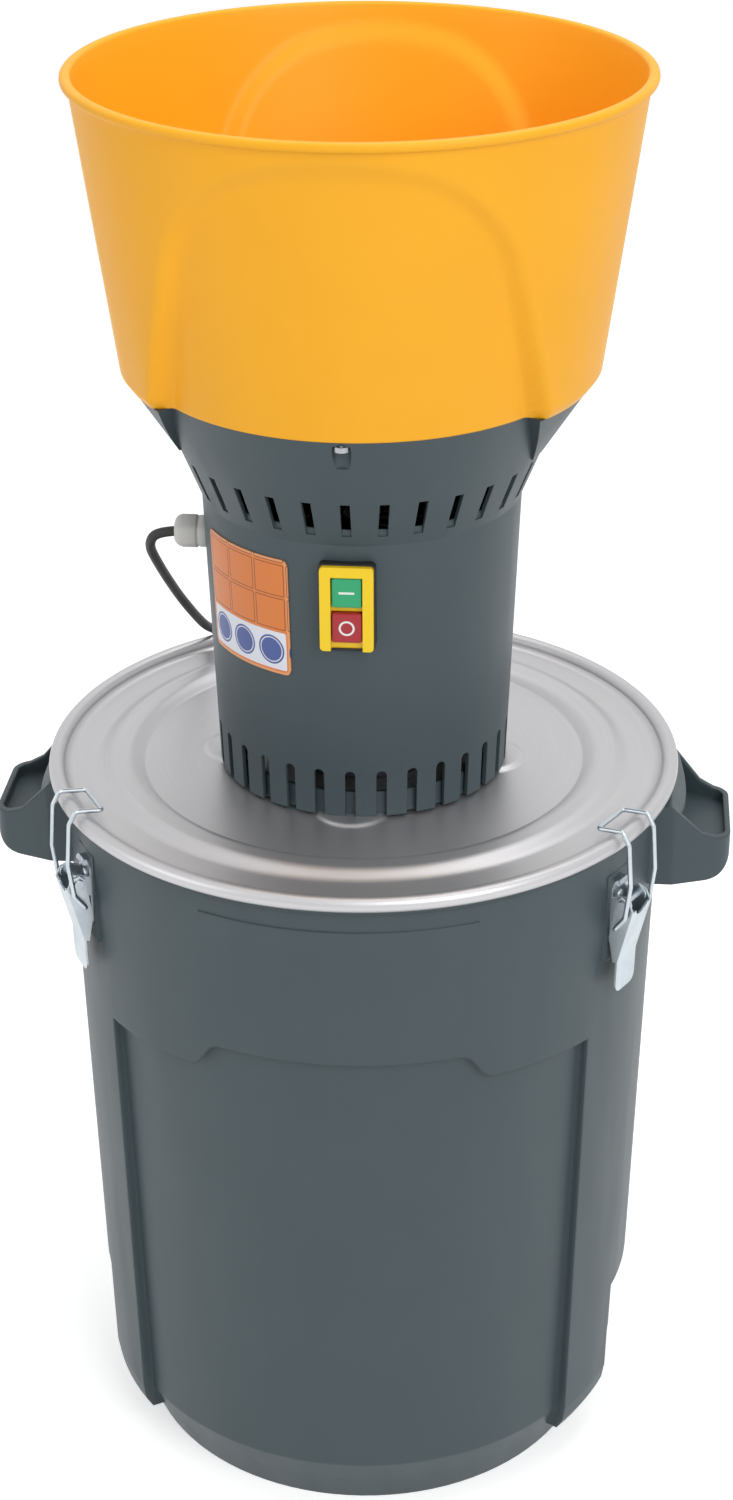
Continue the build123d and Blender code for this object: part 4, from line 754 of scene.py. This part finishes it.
foot_station, chamfer_station = 2, 4
hopper_heights = [hopper_foot, 757.8, 759.2, 761.2, hopper_chamfer_top, 765.0]
hopper_heights += [768.0 + 2.75 * i for i in range(60)] + [933.0]
lip_line = [(0.1, 933.9), (0.5, 934.7), (1.2, 935.2), (2.2, 935.45), (3.1, 935.8), (3.8, 936.5), (4.2, 937.3),
            (4.3, 938.3), (4.1, 939.4), (3.5, 940.2), (2.6, 940.8), (1.6, 941.0), (-0.6, 941.0),
            (-1.5, 940.7), (-2.1, 939.9), (-2.4, 938.6)]
# the inside's rounded bottom corner, from the wall to the floor, and how far outside the foot it may be
corner_line = [(0.6, 761.4), (1.6, 760.3), (3.2, hopper_floor)]
corner_top, corner_spare = 762.0, 2.9
hopper_rings = []
for i in range(360):
    azimuth = radians(i)
    quarter = abs((azimuth + pi / 2) % pi - pi / 2)
    outer = [hopper_reach(quarter, height) for height in hopper_heights]
    ring = [polar_spot(reach, azimuth, height) for reach, height in zip(outer, hopper_heights)]
    ring += [polar_spot(hopper_lip_radius + out, azimuth, height) for out, height in lip_line]
    for reach, height in reversed(list(zip(outer, hopper_heights))):
        if height > corner_top:
            ring.append(polar_spot(reach - hopper_skin, azimuth, height))
    inner = min(outer[chamfer_station], outer[foot_station] + corner_spare) - hopper_skin
    ring += [polar_spot(inner - inward, azimuth, height) for inward, height in corner_line]
    ring += [polar_spot(hopper_bore, azimuth, height) for height in (hopper_floor, hopper_foot)]
    hopper_rings.append(ring)
hopper_shell = ring_mesh("hopper_shell", hopper_rings, hopper_polyethylene)
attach(hopper_shell, "stand")
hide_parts("hopper")
finish_nodes(hopper_polyethylene, "feed_funnel")

# ------------------------------------------------------------------ cable gland
# A pale grey nylon gland with its nut, and its locknut inside the housing. The nut's hexagon runs
# out into a round dome towards the lead.
gland_nylon = moulded("gland_nylon", srgb(208, 207, 204), srgb(226, 226, 224), 0.45, 1200.0, 0.15, 0.03,
                      0.0006)
finish_nodes(gland_nylon, "gland_locknut")
gland_height, gland_inner_end = 645.0, -94.5
gland_flat, gland_round, gland_softness, gland_bore = 10.3, 11.3, 1.2, 3.0
round_share, hexagon_share = 0.5, 0.9
gland_line = [(gland_inner_end, 0.97), (-102.6, 0.97), (-103.0, 0.93), (-104.2, 0.93), (-104.6, 0.985),
              (-105.2, 1.0), (-113.8, 1.0), (-116.2, 0.93), (-117.9, 0.80), (-118.9, 0.62), (-119.0, 0.42),
              (-116.5, 0.32), (-112.0, 0.30)]
gland_rings = []
for i in range(72):
    bearing = radians(5.0 * i)
    flat = gland_flat / cos((bearing + pi / 6) % (pi / 3) - pi / 6)
    reach = soft_least(flat, gland_round, gland_softness)
    outline = []
    for along, share in gland_line:
        hexagon = min(1.0, max(0.0, (share - round_share) / (hexagon_share - round_share)))
        outline.append((along, share * (reach * hexagon + gland_flat * (1.0 - hexagon))))
    outline.append((gland_inner_end, gland_bore))
    ring = []
    for along, out in outline:
        ring.append(Vector((along, out * cos(bearing), gland_height + out * sin(bearing))) / 1000.0)
    gland_rings.append(ring)
gland_body = ring_mesh("gland_body", gland_rings, gland_nylon)
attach(gland_body, "stand")
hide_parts("cable_gland")

# ------------------------------------------------------------------ switch
# A snap-in switch with a glossy yellow frame, a green start and a red stop button, which carry a
# printed white bar and ring.
switch_yellow = moulded("switch_yellow", srgb(252, 212, 6), srgb(255, 232, 96), 0.26, 900.0, 0.05, 0.03,
                        0.0009)
finish_nodes(switch_yellow, "switch_frame")
switch_height, switch_half_wide, switch_half_tall, switch_corner = 642.0, 16.25, 27.35, 2.5
start_mark_height, bar_half_wide, bar_half_tall, bar_corner = 0.6525, 0.0047, 0.0007, 0.0003
stop_mark_height, mark_ring_radius, mark_ring_half = 0.6295, 0.0042, 0.0006
print_blur = 0.00012


def within(tree, distance):
    """1 where a distance is less than nothing, 0 outside, with a printed edge."""
    edge = node(tree, "ShaderNodeMapRange", Value=distance, From_Min=print_blur, From_Max=-print_blur)
    return edge.outputs[0]


def from_box(tree, across, up, half_wide, half_tall, corner):
    """Distance outside a rectangle with rounded corners."""
    beside = sum_of(tree, "ADD", sum_of(tree, "ABSOLUTE", across), corner - half_wide)
    above = sum_of(tree, "ADD", sum_of(tree, "ABSOLUTE", up), corner - half_tall)
    outside = [sum_of(tree, "MAXIMUM", distance, 0.0) for distance in (beside, above)]
    inside = sum_of(tree, "MINIMUM", sum_of(tree, "MAXIMUM", beside, above), 0.0)
    return sum_of(tree, "SUBTRACT", sum_of(tree, "ADD", length_of(tree, *outside), inside), corner)


def from_line(tree, distance, middle, half):
    """Distance outside a printed line that runs where another distance has its middle value."""
    off = sum_of(tree, "ABSOLUTE", sum_of(tree, "SUBTRACT", distance, middle))
    return sum_of(tree, "SUBTRACT", off, half)


def start_mark(tree, across, up):
    """Distance outside a bar."""
    return from_box(tree, across, up, bar_half_wide, bar_half_tall, bar_corner)


def stop_mark(tree, across, up):
    """Distance outside the line of a ring."""
    return from_line(tree, length_of(tree, across, up), mark_ring_radius, mark_ring_half)


def marked_button(name, colour, rubbed, height, mark):
    """A glossy button with a printed white mark on its face, at a height in metres."""
    material = moulded(name, colour, rubbed, 0.3, 900.0, 0.05, 0.03, 0.0012)
    tree = material.node_tree
    across, _, upward = node(tree, "ShaderNodeSeparateXYZ", Vector=object_place(tree)).outputs
    printed = within(tree, mark(tree, across, sum_of(tree, "SUBTRACT", upward, height)))
    skin = next(step for step in tree.nodes if step.type == "GROUP")
    tree.links.new(painted(tree, printed, colour, srgb(238, 242, 236)), skin.inputs["Colour"])
    return material


start_green = marked_button("start_green", srgb(36, 168, 112), srgb(110, 200, 160), start_mark_height,
                            start_mark)
finish_nodes(start_green, "start_button")
stop_red = marked_button("stop_red", srgb(172, 30, 44), srgb(204, 84, 92), stop_mark_height, stop_mark)
finish_nodes(stop_red, "stop_button")


housing_foot, housing_foot_radius, housing_slope = 494.0, 92.9, 0.0379


def housing_wall(height):
    """Outer radius of the housing's coned wall."""
    return housing_foot_radius + housing_slope * (height - housing_foot)


# A black strip lies between the frame and the housing and stands a little proud of it. It is partly the
# switch's dark base and partly painted shade: its dark edge beyond the frame stands in for the shadow line
# along the frame's edges.
gasket_rubber = moulded("gasket_rubber", srgb(24, 24, 26), srgb(60, 60, 60), 0.6, 1500.0, 0.3)
strip_front, strip_chamfer, strip_proud, strip_sunk = -104.9, 0.4, 0.9, 0.6
strip_inside, strip_outside = 2.0, switch_corner + strip_proud
strip_outline = []
for side, upward, first in ((1, 1, 0), (-1, 1, 90), (-1, -1, 180), (1, -1, 270)):
    for step in range(7):
        bend = radians(first + 15.0 * step)
        strip_outline.append((
            side * (switch_half_wide - switch_corner), upward * (switch_half_tall - switch_corner),
            cos(bend), sin(bend),
        ))
strip_rings = []
for across, up, right, above in strip_outline:
    ring = []
    for grow, front in (
        (strip_inside, None), (strip_outside, None), (strip_outside, strip_front + strip_chamfer),
        (strip_outside - strip_chamfer, strip_front), (strip_inside, strip_front),
    ):
        x, z = across + grow * right, switch_height + up + grow * above
        if front is None:
            front = -(((housing_wall(z) - strip_sunk) ** 2 - x**2) ** 0.5)
        ring.append(Vector((x, front, z)) / 1000.0)
    strip_rings.append(ring)
# The dark strip is partly the switch's base, and where it shows beyond the frame it is painted shade.
switch_gasket = ring_mesh("switch_gasket", strip_rings, gasket_rubber)
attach(switch_gasket, "stand")

# ------------------------------------------------------------------ label
# A film on the housing's label place, printed orange over a white band, with rounded corners. Its
# six cells and three round spots are left empty.
label_middle, label_half_turn = radians(-43.0), radians(21.3)
label_low, label_top = 0.5885, 0.666
label_radius = 0.1002
half_wide, half_tall = label_radius * label_half_turn, (label_top - label_low) / 2
border_wide, border_corner = 0.0017, 0.0028
band_margin, band_rise, band_half, band_corner = 0.0026, 0.0028, 0.0128, 0.0015
spot_pitch, spot_radius, spot_rim_radius, spot_rim_half = 0.0232, 0.0098, 0.0082, 0.00035
cell_pitch, cell_gap, cell_corner, cell_line_half = 0.0236, 0.0010, 0.0006, 0.00028
cells_above_band, cells_below_top = 0.0040, 0.0026
cells_low = -half_tall + 2 * band_half + cells_above_band
cell_tall = (half_tall - cells_below_top - cells_low) / 2
film, film_in, film_out = effect("label_print", [
    ("Ground", "Color", srgb(226, 128, 54)),
    ("Border", "Color", srgb(236, 160, 104)),
    ("Line", "Color", srgb(140, 66, 34)),
    ("Band", "Color", srgb(232, 235, 245)),
    ("Spots", "Color", srgb(72, 92, 158)),
])
film_place = object_place(film)
film_x, film_y, film_z = node(film, "ShaderNodeSeparateXYZ", Vector=film_place).outputs
film_bearing = sum_of(film, "ARCTAN2", film_x, sum_of(film, "MULTIPLY", film_y, -1.0))
film_across = sum_of(film, "MULTIPLY", sum_of(film, "SUBTRACT", film_bearing, label_middle), label_radius)
film_up = sum_of(film, "SUBTRACT", film_z, (label_low + label_top) / 2)
print_field = from_box(film, film_across, film_up, half_wide - border_wide, half_tall - border_wide,
                       border_corner)
band_up = sum_of(film, "SUBTRACT", film_up, -half_tall + band_rise + band_half)
band_field = from_box(film, film_across, band_up, half_wide - band_margin, band_half, band_corner)
spot_across = sum_of(film, "WRAP", film_across, spot_pitch / 2, -spot_pitch / 2)
spot_reach = length_of(film, spot_across, band_up)
spot_field = sum_of(film, "SUBTRACT", spot_reach, spot_radius)
spot_rim = from_line(film, spot_reach, spot_rim_radius, spot_rim_half)
cell_across = sum_of(film, "WRAP", film_across, cell_pitch / 2, -cell_pitch / 2)
cell_up = sum_of(film, "WRAP", sum_of(film, "SUBTRACT", film_up, cells_low), cell_tall, 0.0)
cell_up = sum_of(film, "SUBTRACT", cell_up, cell_tall / 2)
cell_edge = from_box(film, cell_across, cell_up, cell_pitch / 2 - cell_gap, cell_tall / 2 - cell_gap,
                     cell_corner)
above_band = within(film, sum_of(film, "SUBTRACT", cells_low, film_up))
cell_lines = within(film, from_line(film, cell_edge, 0.0, cell_line_half))
paint = film_in["Border"]
for mask, over in (
    (within(film, print_field), "Ground"),
    (sum_of(film, "MULTIPLY", cell_lines, above_band), "Line"),
    (within(film, band_field), "Band"),
    (within(film, spot_field), "Spots"),
    (within(film, spot_rim), "Band"),
):
    paint = painted(film, mask, paint, film_in[over])
film_cloud = noise(film, film_place, 90.0, 3.0)
film_rough = sum_of(film, "MULTIPLY_ADD", film_cloud, 0.12, 0.30)
end_effect(film, film_out, paint, film_rough, bumped(film, film_cloud, 0.08, 0.0003))
label_film, film_tree, film_shader = surface("label_film")
place_effect(film_tree, film, film_shader)

label_corner, label_seat, label_proud, label_steps = 4.0, 0.1, 0.75, 56
label_mid_height = 500.0 * (label_low + label_top)
label_rings = []
for i in range(label_steps + 1):
    share = 2.0 * i / label_steps - 1.0
    azimuth = label_middle + share * label_half_turn
    past_corner = max(0.0, 1000.0 * half_wide * (abs(share) - 1.0) + label_corner)
    cut = label_corner - (label_corner**2 - past_corner**2) ** 0.5
    low_edge, top_edge = label_low * 1000 + cut, label_top * 1000 - cut
    ring = []
    for height, proud in (
        (low_edge, 0.0), (low_edge, label_proud), (label_mid_height, label_proud), (top_edge, label_proud),
        (top_edge, 0.0), (label_mid_height, 0.0),
    ):
        ring.append(polar_spot(housing_wall(height) + label_seat + proud, azimuth, height))
    label_rings.append(ring)
printed_label = ring_mesh("printed_label", label_rings, label_film, closed=False, smooth=False)
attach(printed_label, "stand")
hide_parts("label_plate")
